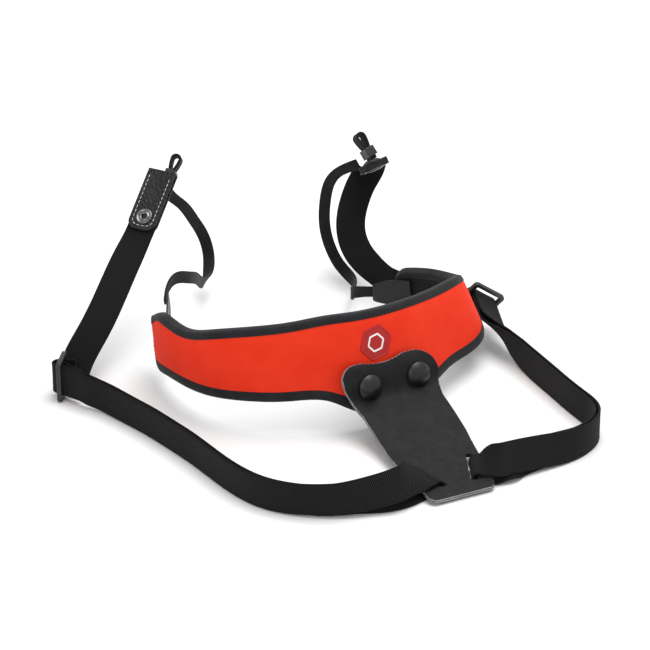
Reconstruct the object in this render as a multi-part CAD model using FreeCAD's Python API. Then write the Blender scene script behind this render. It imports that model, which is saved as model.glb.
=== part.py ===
import FreeCAD, Part
import math
import os

from FreeCAD import Vector

# Binocular harness: a curved neoprene pad, a snap-on leather yoke plate, two side
# straps of 20 mm elastic webbing with tri-glide sliders, two snap tabs with stitched
# leaves, and narrow straps with keepers that loop through a binocular's strap lugs.
# Millimetres, +Z up, origin on the ground at the middle of the bounding box.

doc = FreeCAD.newDocument("binocular_harness")

# ---------------------------------------------------------------- driving dimensions
DIMENSIONS = [
    ("shift_x", -0.2, "moves the whole part so that its box is centred"),
    ("shift_y", -18.8, "moves the whole part so that its box is centred"),
    ("web_width", 20.0, "elastic side webbing"),
    ("web_thick", 1.5, ""),
    ("narrow_width", 8.0, "lug webbing"),
    ("narrow_thick", 1.4, ""),
    ("face_thick", 0.9, "laminated outer fabric of the pad"),
    ("core_thick", 3.6, "foam core"),
    ("lining_thick", 0.9, "inner fabric"),
    ("binding_reach", 6.4, "edge binding on each face, along the bottom and the ends"),
    ("binding_reach_top", 4.2, "the same along the top edge"),
    ("binding_thick", 0.8, ""),
    ("leaf_thick", 1.25, "one leather leaf of the yoke plate"),
    ("snap_spacing", 35.0, "between the two plate snaps"),
    ("cap_radius", 8.0, "domed snap cap"),
    ("cap_height", 3.2, ""),
    ("left_lobe_radius", 10.0, "rounded shoulder beside each plate snap"),
    ("right_lobe_radius", 18.0, ""),
    ("socket_radius", 5.6, ""),
    ("socket_height", 2.2, ""),
    ("stud_radius", 2.7, ""),
    ("flange_radius", 4.8, ""),
    ("flange_thick", 0.7, ""),
    ("slot_width", 4.0, "webbing slot in the yoke plate"),
    ("slot_length", 26.0, ""),
    ("slider_height", 26.6, "tri-glide, across the webbing"),
    ("slider_length", 21.5, "tri-glide, along the webbing"),
    ("slider_thick", 3.0, ""),
    ("corner_radius", 2.4, "rounded corners of the tri-glide"),
    ("bar_width", 2.6, "outer bars of the tri-glide"),
    ("rail_width", 2.8, "end rails of the tri-glide"),
    ("centre_bar_radius", 1.0, ""),
    ("tab_width", 20.0, "snap tab"),
    ("tab_length", 44.0, ""),
    ("tab_leaf", 1.3, "one leather leaf of a tab"),
    ("tab_gap", 2.2, "between the leaves, for the webbing end and the snap"),
    ("ring_radius", 5.5, "snap ring on the tab"),
    ("badge_radius", 11.3, ""),
    ("badge_thick", 0.6, ""),
    ("patch_length", 26.0, "sewn patch at each end of the pad"),
    ("patch_width", 20.0, ""),
    ("patch_thick", 1.0, ""),
]

sheet = doc.addObject("Spreadsheet::Sheet", "Dimensions")
for row, (alias, value, note) in enumerate(DIMENSIONS, start=1):
    sheet.set(f"A{row}", alias)
    sheet.set(f"B{row}", str(value))
    sheet.set(f"C{row}", note)
    sheet.setAlias(f"B{row}", alias)
doc.recompute()


def dim(alias):
    return float(sheet.get(alias))


SHIFT = Vector(dim("shift_x"), dim("shift_y"), 0)
WEB, WEB_T = dim("web_width"), dim("web_thick")
sub_parts = []


# ---------------------------------------------------------------- curve and ribbon helpers
def unit(vector):
    return Vector(vector) * (1.0 / vector.Length)


def smooth_curve(points):
    curve = Part.BSplineCurve()
    curve.interpolate([Vector(*p) for p in points])
    return curve


def spline_points(points, count):
    """Evenly spaced points on the smooth curve through the given ones."""
    return smooth_curve(points).discretize(Number=count)


def trimmed_points(curve, count, trim):
    """Evenly spaced points of a curve that stops short of both its ends."""
    first = curve.parameterAtDistance(trim, curve.FirstParameter)
    last = curve.parameterAtDistance(-trim, curve.LastParameter)
    return curve.discretize(Number=count, First=first, Last=last)


def blend_values(stations, points, value):
    """A station's value at each sampled point, blended between the nearest two."""
    at = [Vector(*s[0]) for s in stations]
    out = []
    for point in points:
        near = min(range(len(at) - 1),
                   key=lambda i: point.distanceToLineSegment(at[i], at[i + 1]).Length)
        span = at[near + 1] - at[near]
        share = min(1.0, max(0.0, (point - at[near]).dot(span) / span.dot(span)))
        out.append(value(stations[near]) * (1 - share) + value(stations[near + 1]) * share)
    return out


def band_frames(lower, upper):
    """Centre, width direction, normal and width at each pair of edge points."""
    frames = []
    last = len(lower) - 1
    middle = [(a + b) * 0.5 for a, b in zip(lower, upper)]
    for i in range(last + 1):
        along = middle[min(i + 1, last)] - middle[max(i - 1, 0)]
        across = upper[i] - lower[i]
        normal = unit(along.cross(across))
        frames.append((middle[i], unit(across), normal, across.Length))
    return frames


def band_solid(frames, inner, outer, trim_low=0.0, trim_high=0.0, ruled=False):
    """A loft through one rectangle per frame, between two heights along the normal."""
    wires = []
    for centre, across, normal, width in frames:
        low = centre - across * (width / 2 - trim_low)
        high = centre + across * (width / 2 - trim_high)
        corners = [low + normal * inner, high + normal * inner,
                   high + normal * outer, low + normal * outer]
        wires.append(Part.makePolygon(corners + corners[:1]))
    return Part.makeLoft(wires, True, ruled)


def ribbon_frames(stations, count, width):
    """Frames of a strap of constant width through (centre, width direction) stations."""
    points = spline_points([s[0] for s in stations], count)
    across = [unit(a) for a in blend_values(stations, points, lambda s: unit(Vector(*s[1])))]
    lower = [p - a * (width / 2) for p, a in zip(points, across)]
    upper = [p + a * (width / 2) for p, a in zip(points, across)]
    frames = []
    for i, point in enumerate(points):
        along = points[min(i + 1, count - 1)] - points[max(i - 1, 0)]
        normal = unit(along.cross(across[i]))
        frames.append((point, unit(normal.cross(along)), normal, width))
    return frames


def add_feature(label, shape, placement=None):
    feature = doc.addObject("Part::Feature", label)
    feature.Shape = shape
    feature.Label = label
    feature.Placement = FreeCAD.Placement(SHIFT, FreeCAD.Rotation())
    if placement is not None:
        feature.Placement = feature.Placement.multiply(placement)
    sub_parts.append(feature)
    return feature


def frame_placement(origin, x_axis, z_axis):
    """A placement whose local X and Z follow the two directions."""
    z_dir = unit(Vector(*z_axis))
    x_dir = Vector(*x_axis)
    x_dir = unit(x_dir - z_dir * x_dir.dot(z_dir))
    y_dir = z_dir.cross(x_dir)
    return FreeCAD.Placement(Vector(*origin), FreeCAD.Rotation(x_dir, y_dir, z_dir, "ZXY"))


# ---------------------------------------------------------------- pad
# Lower and upper edges of the outer face, from the left end round the front to the
# right end. Both ends curl back and narrow, and the lower edge dips into a tongue
# behind the yoke plate.
PAD_LOWER = [(-104, 29, 21), (-104.6, 21, 15), (-103.5, 12, 12), (-98.5, -1, 13.5),
             (-87.5, -21, 16.5), (-70, -41, 18.4), (-46, -53, 20.4), (-20, -56, 21.6),
             (4, -56, 21.8), (21, -54, 14), (40, -46, 9.5), (58, -32, 11.5), (72, -14, 16),
             (81, 2, 18), (94, 21, 18), (103.6, 43, 19), (101, 66, 20), (86, 86, 20),
             (67, 96, 18), (50, 99, 17)]
PAD_UPPER = [(-106, 30, 41.5), (-107, 22, 42.5), (-104.5, 12, 48), (-101, -1, 53.5),
             (-87.5, -23, 54), (-69, -43, 61), (-45, -51, 66.5), (-20, -52, 70),
             (3, -49, 73.6), (19, -43, 73.4), (35, -33, 72.5), (50, -19, 71), (62, -4, 68.8),
             (71, 9, 66.9), (82, 26, 65.4), (87.7, 45, 60.5), (86.5, 62, 53.5),
             (76, 78, 49.6), (62, 88, 47), (49, 94, 44)]
PAD_SECTIONS = 34

FACE_T, CORE_T, LINING_T = dim("face_thick"), dim("core_thick"), dim("lining_thick")
BIND_W, BIND_W_TOP = dim("binding_reach"), dim("binding_reach_top")
BIND_T = dim("binding_thick")
PAD_T = FACE_T + CORE_T + LINING_T
EASE = 0.05

lower_curve, upper_curve = smooth_curve(PAD_LOWER), smooth_curve(PAD_UPPER)


def pad_frames(end_trim):
    return band_frames(trimmed_points(lower_curve, PAD_SECTIONS, end_trim),
                       trimmed_points(upper_curve, PAD_SECTIONS, end_trim))


whole_frames = pad_frames(0.0)
stack_frames = pad_frames(BIND_T + EASE)
window_frames = pad_frames(BIND_W)


def pad_layer(outer, thick):
    trim = BIND_T + EASE
    return band_solid(stack_frames, -outer - thick, -outer, trim, trim)


def pad_binding():
    """A folded tape round the whole rim: a skin with the pad and a window cut out."""
    skin = band_solid(whole_frames, -PAD_T - BIND_T - EASE, BIND_T + EASE)
    filling = band_solid(stack_frames, -PAD_T - EASE, EASE, BIND_T, BIND_T)
    window = band_solid(window_frames, -PAD_T - 4, 4, BIND_W, BIND_W_TOP)
    return skin.cut([filling, window])


# ---------------------------------------------------------------- yoke plate
# The plate lies flat against the pad at its two snaps, sweeps forward and down, and
# ends flat just above the ground, with one slanted webbing slot near each side.
PLATE_STATIONS = [
    ((39.2, -41.05, 44.2), (0.85, 0.53, 0.0), 34.6),
    ((42.8, -45.6, 31.6), (0.85, 0.53, 0.0), 34.2),
    ((45.0, -47.9, 23.3), (0.86, 0.51, 0.01), 30.7),
    ((49.4, -57.7, 18.8), (0.88, 0.47, 0.04), 27.9),
    ((56.2, -72.9, 14.3), (0.90, 0.43, 0.09), 27.0),
    ((62.9, -89.5, 10.0), (0.91, 0.41, 0.10), 26.5),
    ((69.6, -106.4, 6.6), (0.91, 0.41, 0.04), 25.4),
    ((76.1, -120.5, 4.7), (0.90, 0.435, 0.0), 23.6),
    ((79.5, -131.0, 3.9), (0.89, 0.455, 0.0), 22.6),
    ((82.6, -141.6, 2.8), (0.883, 0.469, 0.0), 22.0),
]
PLATE_SECTIONS = 26
LEAF = dim("leaf_thick")
CORNER_R = 5.0
DIP_R, DIP_ABOVE, DIP_LEFT = 45.0, 42.4, 5.0


def plate_frames():
    points = spline_points([s[0] for s in PLATE_STATIONS], PLATE_SECTIONS)
    across = blend_values(PLATE_STATIONS, points, lambda s: Vector(*s[1]))
    halves = blend_values(PLATE_STATIONS, points, lambda s: s[2])
    low = [p - unit(a) * w for p, a, w in zip(points, across, halves)]
    high = [p + unit(a) * w for p, a, w in zip(points, across, halves)]
    return band_frames(low, high)


def corner_tool(corner, side_in, end_in, normal, radius):
    """What a rounded corner removes: a square block less a cylinder."""
    place = frame_placement(corner - normal * 8, side_in, normal)
    block = Part.makeBox(radius + 4, radius + 4, 16, Vector(-4, -4, 0))
    flip = place.inverse().Rotation.multVec(end_in).y
    if flip < 0:
        block = Part.makeBox(radius + 4, radius + 4, 16, Vector(-4, -radius, 0))
    block.Placement = place
    centre = corner + unit(side_in) * radius + unit(end_in) * radius - normal * 10
    return block.cut(Part.makeCylinder(radius, 20, centre, normal))


plate = plate_frames()
top, bottom = plate[0], plate[-1]
at_snaps = min(plate, key=lambda f: (f[0] - Vector(*PLATE_STATIONS[1][0])).Length)
SNAP_MIDDLE, SNAP_ACROSS, PLATE_NORMAL, _ = at_snaps
SNAPS = [("left", SNAP_MIDDLE - SNAP_ACROSS * (dim("snap_spacing") / 2)),
         ("right", SNAP_MIDDLE + SNAP_ACROSS * (dim("snap_spacing") / 2))]
SLOTS = {"left": (Vector(64.0, -125.9, 4.2), Vector(-0.695, 0.719, 0.08)),
         "right": (Vector(88.6, -114.9, 4.6), Vector(-0.07, 0.9976, 0.10))}


def plate_tools():
    tools = []
    up = plate[0][0] - plate[1][0]
    for sign, lobe in ((-1, "left_lobe_radius"), (1, "right_lobe_radius")):
        corner = top[0] + top[1] * (sign * top[3] / 2)
        tools.append(corner_tool(corner, top[1] * -sign, up * -1, top[2], dim(lobe)))
        foot = bottom[0] + bottom[1] * (sign * bottom[3] / 2)
        back_up = plate[-2][0] - plate[-1][0]
        tools.append(corner_tool(foot, bottom[1] * -sign, back_up, bottom[2], CORNER_R))
    dip_centre = top[0] - top[1] * DIP_LEFT + unit(up) * DIP_ABOVE - top[2] * 10
    tools.append(Part.makeCylinder(DIP_R, 20, dip_centre, top[2]))
    for centre, along in SLOTS.values():
        slot = Part.makeBox(dim("slot_length"), dim("slot_width"), 16,
                            Vector(-11.0, -dim("slot_width") / 2, -8))
        slot.Placement = frame_placement(centre, along, (0.0, 0.0, 1.0))
        tools.append(slot)
    for _, point in SNAPS:
        tools.append(Part.makeCylinder(2.3, 12, point - PLATE_NORMAL * 6, PLATE_NORMAL))
    return tools


tools = plate_tools()
add_feature("yoke_plate_front", band_solid(plate, EASE, LEAF + EASE).cut(tools))
add_feature("yoke_plate_backing", band_solid(plate, -LEAF - EASE, -EASE).cut(tools))

# ---------------------------------------------------------------- plate and pad snaps
CAP_R, SOCKET_R, SOCKET_T = dim("cap_radius"), dim("socket_radius"), dim("socket_height")
STUD_R = dim("stud_radius")
FLANGE_R, FLANGE_T = dim("flange_radius"), dim("flange_thick")
PLATE_OUT = LEAF + EASE
BEND_EASE = 1.75


def domed_cap(radius, height, rim):
    """A cap with a flat rim and a domed top, base at zero."""
    ball_r = (radius * radius + height * height) / (2 * height)
    ball = Part.makeSphere(ball_r, Vector(0, 0, rim + height - ball_r))
    column = Part.makeCylinder(radius, rim + height + 1)
    return column.common(ball).fuse(Part.makeCylinder(radius, rim)).removeSplitter()


def snap_set(side, point, out):
    """Cap and socket on the plate, stud and back washer on the pad, on one axis."""
    place = frame_placement(point, SNAP_ACROSS, out)
    cap = domed_cap(CAP_R, dim("cap_height"), 0.6)
    cap.translate(Vector(0, 0, PLATE_OUT + BEND_EASE))
    post = Part.makeCylinder(2.0, 2 * PLATE_OUT + BEND_EASE + 0.9, Vector(0, 0, -PLATE_OUT - 0.4))
    add_feature(f"yoke_cap_{side}", cap.fuse(post).removeSplitter(), place)
    ring_top = -PLATE_OUT - BEND_EASE
    ring = Part.makeCylinder(SOCKET_R, SOCKET_T, Vector(0, 0, ring_top - SOCKET_T))
    hole = Part.makeCylinder(STUD_R + 0.4, SOCKET_T - 0.5, Vector(0, 0, ring_top - SOCKET_T))
    well = Part.makeCylinder(2.3, 2, Vector(0, 0, ring_top - 1.2))
    add_feature(f"yoke_socket_{side}", ring.cut([hole, well]), place)
    stud_base = ring_top - SOCKET_T - 0.15
    flange = Part.makeCylinder(FLANGE_R, FLANGE_T, Vector(0, 0, stud_base - FLANGE_T))
    knob = Part.makeCylinder(STUD_R, 1.5, Vector(0, 0, stud_base))
    shank = Part.makeCylinder(1.6, PAD_T + 3.4, Vector(0, 0, stud_base - PAD_T - 3.4))
    add_feature(f"pad_stud_{side}", flange.fuse([knob, shank]).removeSplitter(), place)
    washer_z = stud_base - PAD_T - 3.4
    washer = Part.makeCylinder(FLANGE_R, 0.8, Vector(0, 0, washer_z))
    washer = washer.cut(Part.makeCylinder(1.7, 3, Vector(0, 0, washer_z - 1)))
    add_feature(f"pad_washer_{side}", washer, place)
    clear_front = Part.makeCylinder(FLANGE_R + 0.2, 6, Vector(0, 0, stud_base - FLANGE_T - 0.1))
    clear_shank = Part.makeCylinder(1.8, PAD_T + 8, Vector(0, 0, stud_base - PAD_T - 6))
    clear_back = Part.makeCylinder(FLANGE_R + 0.2, 6, Vector(0, 0, washer_z - 5.1))
    cutters = [clear_front, clear_shank, clear_back]
    for cutter in cutters:
        cutter.Placement = place
    return cutters


snap_cutters = []
for side, point in SNAPS:
    snap_cutters += snap_set(side, point, PLATE_NORMAL)

add_feature("pad_face", pad_layer(0, FACE_T).cut(snap_cutters))
add_feature("pad_core", pad_layer(FACE_T, CORE_T).cut(snap_cutters))
add_feature("pad_lining", pad_layer(FACE_T + CORE_T, LINING_T).cut(snap_cutters))
add_feature("pad_binding", pad_binding())

# A plain six-sided badge is bonded to the outer face above the yoke plate.
BADGE_AT = Vector(32.2, -39.8, 53.4)
BADGE_GAP = 0.1


def badge():
    nearest = min(range(len(whole_frames)), key=lambda i: (whole_frames[i][0] - BADGE_AT).Length)
    frames = whole_frames[nearest - 2:nearest + 3]
    _, across, normal, _ = whole_frames[nearest]
    skin = band_solid(frames, BADGE_GAP, BADGE_GAP + dim("badge_thick"))
    side = normal.cross(across)
    rim = [BADGE_AT - normal * 8 + (side * math.cos(turn) + across * math.sin(turn))
           * dim("badge_radius") for turn in (math.radians(60 * k) for k in range(7))]
    return skin.common(Part.Face(Part.makePolygon(rim)).extrude(normal * 16))


add_feature("badge", badge())

# ---------------------------------------------------------------- side webbing
# Each strap is a list of (centre, direction across its width) stations. The outer run
# goes from the slider round the ground to the plate, over its edge and down the slot;
# the inner run comes out under the plate and goes back beside the outer one.
UPRIGHT = (0, 0, 1)
WEBBING = {
    "left_outer_run": ([
        ((-145.4, -23.6, 12.8), UPRIGHT), ((-138.5, -27.8, 11.8), UPRIGHT),
        ((-130.6, -34.3, 10.9), UPRIGHT),
        ((-117.6, -47.5, 10.3), UPRIGHT), ((-105.0, -61.7, 10.3), UPRIGHT),
        ((-92.5, -77.5, 10.3), UPRIGHT), ((-77.0, -98.3, 10.3), UPRIGHT),
        ((-62.0, -121.0, 10.3), UPRIGHT), ((-47.4, -140.6, 10.3), UPRIGHT),
        ((-33.0, -153.6, 10.5), UPRIGHT), ((-19.0, -160.3, 11.0), UPRIGHT),
        ((-5.4, -163.4, 11.8), UPRIGHT), ((8.3, -164.0, 12.4), (0, 0.05, 1)),
        ((22.0, -161.0, 13.2), (0, 0.25, 0.97)), ((36.0, -156.2, 14.6), (0, 0.48, 0.88)),
        ((45.0, -151.6, 15.8), (-0.04, 0.54, 0.84)), ((51.0, -144.0, 15.0), (-0.25, 0.62, 0.74)),
        ((55.2, -136.9, 12.4), (-0.46, 0.70, 0.52)), ((57.9, -132.6, 10.9), (-0.60, 0.71, 0.34)),
    ], 46),
    "left_inner_run": ([
        ((59.9, -129.8, 8.9), (-0.69, 0.72, 0.14)), ((62.4, -127.3, 8.7), (-0.695, 0.719, 0.12)),
        ((64.0, -125.8, 7.2), (-0.695, 0.719, 0.10)), ((64.3, -125.5, 4.8), (-0.695, 0.719, 0.08)),
        ((63.8, -126.0, 2.4), (-0.695, 0.719, 0.03)), ((62.0, -127.6, 0.95), (-0.695, 0.719, 0.0)),
        ((59.2, -130.4, 0.85), (-0.69, 0.72, 0.0)), ((56.0, -133.6, 1.3), (-0.67, 0.74, 0.02)),
        ((50.4, -140.2, 4.4), (-0.50, 0.82, 0.26)),
        ((44.5, -147.3, 7.3), (-0.20, 0.80, 0.58)), ((36.0, -153.2, 9.0), (0, 0.58, 0.81)),
        ((22.0, -157.9, 10.2), (0, 0.20, 0.98)), ((8.3, -161.2, 10.2), UPRIGHT),
        ((-5.4, -161.0, 10.2), UPRIGHT), ((-18.2, -158.1, 10.2), UPRIGHT),
        ((-31.6, -151.8, 10.2), UPRIGHT), ((-45.6, -139.2, 10.2), UPRIGHT),
        ((-60.1, -119.8, 10.2), UPRIGHT), ((-75.1, -97.0, 10.2), UPRIGHT),
        ((-90.7, -76.1, 10.2), UPRIGHT), ((-103.3, -60.2, 10.2), UPRIGHT),
        ((-116.0, -45.9, 10.2), UPRIGHT), ((-128.8, -32.6, 10.9), UPRIGHT),
        ((-142.3, -22.4, 12.4), UPRIGHT),
    ], 60),
    "left_riser": ([
        ((-113.45, 107.75, 79.2), (0.911, -0.409, -0.05)),
        ((-115.5, 103.7, 75.0), (0.911, -0.409, -0.05)),
        ((-117.7, 99.3, 70.4), (0.911, -0.409, -0.05)),
        ((-120.0, 94.9, 66.2), (0.911, -0.409, -0.07)),
        ((-126.2, 79.0, 57.0), (0.94, -0.22, -0.24)), ((-133.4, 56.0, 46.4), (0.93, -0.14, -0.34)),
        ((-139.0, 39.0, 38.0), (0.91, -0.15, -0.38)), ((-145.6, 24.0, 29.0), (0.83, -0.23, -0.50)),
        ((-152.0, 13.6, 20.0), (0.70, -0.34, -0.62)), ((-155.2, 8.0, 12.6), (0.62, -0.40, -0.67)),
        ((-155.8, 6.8, 8.4), (0.60, -0.42, -0.68)),
    ], 34),
    "right_outer_run": ([
        ((96.6, -115.6, 11.5), (-0.05, 0.92, 0.38)), ((99.8, -117.6, 13.4), (-0.02, 0.70, 0.71)),
        ((104.2, -119.2, 14.4), (0, 0.52, 0.85)), ((110.0, -115.8, 13.8), (0, 0.48, 0.88)),
        ((120.0, -109.4, 12.8), (0, 0.46, 0.89)), ((132.0, -102.4, 11.6), (0, 0.40, 0.92)),
        ((142.0, -97.2, 10.8), (0, 0.28, 0.96)), ((152.0, -90.8, 10.4), (0, 0.12, 0.99)),
        ((160.5, -82.0, 10.3), UPRIGHT), ((166.0, -72.0, 10.3), UPRIGHT),
        ((168.2, -61.5, 10.3), UPRIGHT), ((166.4, -50.5, 10.3), UPRIGHT),
        ((160.8, -38.0, 10.3), UPRIGHT), ((152.7, -21.0, 10.3), UPRIGHT),
        ((144.3, -1.5, 10.3), UPRIGHT), ((135.7, 18.0, 10.4), UPRIGHT),
        ((128.6, 34.0, 11.2), (-0.06, -0.03, 1)), ((122.2, 48.6, 13.0), (-0.26, -0.14, 0.95)),
        ((116.2, 61.4, 16.0), (-0.55, -0.28, 0.78)), ((111.0, 72.3, 19.3), (-0.70, -0.35, 0.60)),
    ], 60),
    "right_inner_run": ([
        ((93.2, -114.6, 9.1), (-0.07, 0.99, 0.14)), ((90.6, -114.8, 9.0), (-0.07, 0.9976, 0.12)),
        ((88.7, -114.9, 7.4), (-0.07, 0.9976, 0.10)), ((88.3, -114.9, 4.8), (-0.07, 0.9976, 0.08)),
        ((88.8, -114.9, 2.4), (-0.07, 0.9976, 0.03)), ((90.8, -114.8, 1.1), (-0.07, 0.9976, 0.0)),
        ((95.0, -114.5, 0.9), (-0.05, 0.9976, 0.0)), ((101.0, -114.6, 1.2), (0, 1, 0.02)),
        ((105.6, -114.5, 3.9), (0, 0.96, 0.28)), ((112.0, -111.8, 7.6), (0, 0.72, 0.69)),
        ((120.0, -107.0, 9.3), (0, 0.46, 0.89)),
        ((131.0, -100.4, 9.9), (0, 0.30, 0.95)), ((141.0, -94.6, 10.1), (0, 0.15, 0.99)),
        ((150.4, -88.4, 10.2), UPRIGHT), ((158.3, -80.3, 10.2), UPRIGHT),
        ((163.4, -71.0, 10.2), UPRIGHT), ((165.4, -61.6, 10.2), UPRIGHT),
        ((163.8, -51.4, 10.2), UPRIGHT), ((158.4, -39.2, 10.2), UPRIGHT),
        ((150.4, -22.2, 10.2), UPRIGHT), ((142.0, -2.7, 10.2), UPRIGHT),
        ((133.4, 16.8, 10.3), UPRIGHT), ((126.4, 32.8, 11.0), (-0.06, -0.03, 1)),
        ((119.8, 46.8, 12.4), (-0.26, -0.14, 0.95)), ((113.2, 59.4, 14.4), (-0.55, -0.28, 0.78)),
        ((108.4, 69.8, 16.9), (-0.70, -0.35, 0.60)),
    ], 66),
    "right_riser": ([
        ((97.0, 101.5, 16.6), (-0.50, -0.20, 0.84)), ((90.5, 107.5, 16.4), (-0.34, -0.16, 0.93)),
        ((82.0, 113.0, 16.4), (-0.18, -0.10, 0.98)), ((72.0, 118.0, 16.4), (-0.05, 0, 1)),
        ((60.0, 124.0, 16.6), (0.05, 0, 1)), ((46.0, 133.5, 17.2), (0.15, 0, 0.99)),
        ((36.0, 145.5, 20.0), (0.35, 0.05, 0.93)), ((28.0, 155.0, 24.5), (0.62, 0.10, 0.78)),
        ((22.0, 166.0, 30.5), (0.85, 0.20, 0.42)), ((19.5, 178.0, 38.5), (0.99, 0.10, 0.0)),
        ((20.5, 187.0, 46.5), (0.96, -0.10, -0.20)), ((23.5, 194.0, 55.0), (0.90, -0.15, -0.38)),
        ((28.0, 199.0, 64.0), (0.86, -0.10, -0.50)), ((32.0, 200.6, 70.0), (0.88, 0.05, -0.30)),
        ((34.3, 197.6, 74.4), (0.93, 0.14, 0.20)), ((34.7, 192.3, 77.05), (0.914, 0.155, 0.376)),
        ((34.7, 186.3, 79.55), (0.914, 0.155, 0.376)), ((34.7, 180.3, 82.05), (0.914, 0.155, 0.376)),
    ], 60),
}

# ---------------------------------------------------------------- tri-glide sliders
# Local X runs along the strap away from the fold, local Y up the bars, local Z to the
# strap's front. The frame stands across the strap, which folds round its middle bar.
SLIDER_H, SLIDER_L = dim("slider_height"), dim("slider_length")
SLIDER_T, BAR_W, RAIL_W = dim("slider_thick"), dim("bar_width"), dim("rail_width")
SLIDERS = {"left": ((-162.2, -5.0, 13.5), (0.99, -0.12, 0.0), UPRIGHT),
           "right": ((103.8, 90.8, 22.9), (0.20, -0.92, -0.34), (0.734, 0.37, -0.569))}
FOLD_TURN = [(-4.9, 2.0), (-5.7, -0.4), (-4.8, -2.8), (-2.0, -4.4), (2.0, -4.9), (8.0, -5.0)]
FOLDS = {"left": [(14, 13.4), (8.5, 10.1), (4, 7.4), (1, 5.6), (-2.5, 3.9)] + FOLD_TURN,
         "right": [(14, 4.1), (8.5, 4.1), (4, 4.1), (1, 4.1), (-2.5, 3.6)] + FOLD_TURN}


def arc(centre_x, centre_z, radius, start, stop, steps):
    turns = [math.radians(start + (stop - start) * k / steps) for k in range(steps + 1)]
    return [(centre_x + radius * math.cos(t), centre_z + radius * math.sin(t)) for t in turns]


LOOPS = {"left": ([(14, 11.05), (9, 8.05), (4, 5.05), (1.2, 3.2)] + arc(0, 0, 2.05, 118, 295, 8)
                  + [(2.9, 0.3), (5.8, 3.2), (9.5, 6.0), (14, 8.9)]),
         "right": ([(14, 2.05), (9, 2.05), (4.5, 2.05)] + arc(0, 0, 2.05, 90, 270, 8)
                   + [(4.5, -2.05), (9, -2.05), (14, -2.05)])}


def flat_band(path, width, thick, sections):
    """A strap whose centre line is a list of (x, z) points and whose width lies on Y."""
    points = spline_points([(x, 0, z) for x, z in path], sections)
    frames = []
    for i, point in enumerate(points):
        along = points[min(i + 1, sections - 1)] - points[max(i - 1, 0)]
        frames.append((point, Vector(0, 1, 0), unit(along.cross(Vector(0, 1, 0))), width))
    return band_solid(frames, -thick / 2, thick / 2, ruled=True)


def slider_set(side, origin, along, across):
    out = unit(Vector(*along).cross(Vector(*across)))
    place = frame_placement(origin, along, out)
    frame = Part.makeBox(SLIDER_T, SLIDER_H, SLIDER_L,
                         Vector(-SLIDER_T / 2, -SLIDER_H / 2, -SLIDER_L / 2))
    corners = [e for e in frame.Edges if abs(e.tangentAt(e.FirstParameter).x) > 0.9]
    frame = frame.makeFillet(dim("corner_radius"), corners)
    window = Part.makeBox(SLIDER_T + 2, SLIDER_H - 2 * RAIL_W, SLIDER_L - 2 * BAR_W,
                          Vector(-SLIDER_T / 2 - 1, RAIL_W - SLIDER_H / 2, BAR_W - SLIDER_L / 2))
    bar = Part.makeCylinder(dim("centre_bar_radius"), SLIDER_H - 2, Vector(0, 1 - SLIDER_H / 2, 0),
                            Vector(0, 1, 0))
    add_feature(f"{side}_slider_frame", frame.cut(window).fuse(bar).removeSplitter(), place)
    add_feature(f"{side}_slider_loop", flat_band(LOOPS[side], WEB, WEB_T, 48), place)
    add_feature(f"{side}_slider_fold", flat_band(FOLDS[side], WEB, WEB_T, 44), place)


for side, frame in SLIDERS.items():
    slider_set(side, *frame)

# ---------------------------------------------------------------- snap tabs
# A leather strip folded in two with its open end at local y = 0. Local Z points to the
# flap, which carries the ring, and the webbing is held between the leaves.
TABS = {"left": ((-118.4, 98.0, 69.0), (0.911, -0.409, -0.05), (0.33, 0.65, 0.68)),
        "right": ((34.7, 192.3, 77.1), (0.914, 0.155, 0.376), (0.0, -0.92, 0.38))}
TAB_W, TAB_L, TAB_LEAF = dim("tab_width"), dim("tab_length"), dim("tab_leaf")
LEAF_IN = dim("tab_gap") / 2
LEAF_OUT = LEAF_IN + TAB_LEAF
FLAP_L, RING_Y = 27.0, 9.5
RING_R, POST_R = dim("ring_radius"), 1.15


def leaf(start, stop, low, high, radius):
    """A strip of leather with its two corners at the start end rounded."""
    strip = Part.makeBox(TAB_W, stop - start, high - low, Vector(-TAB_W / 2, start, low))
    corners = [e for e in strip.Edges
               if abs(e.CenterOfMass.y - start) < 0.01 and abs(e.tangentAt(0).z) > 0.9]
    return strip.makeFillet(radius, corners)


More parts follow.
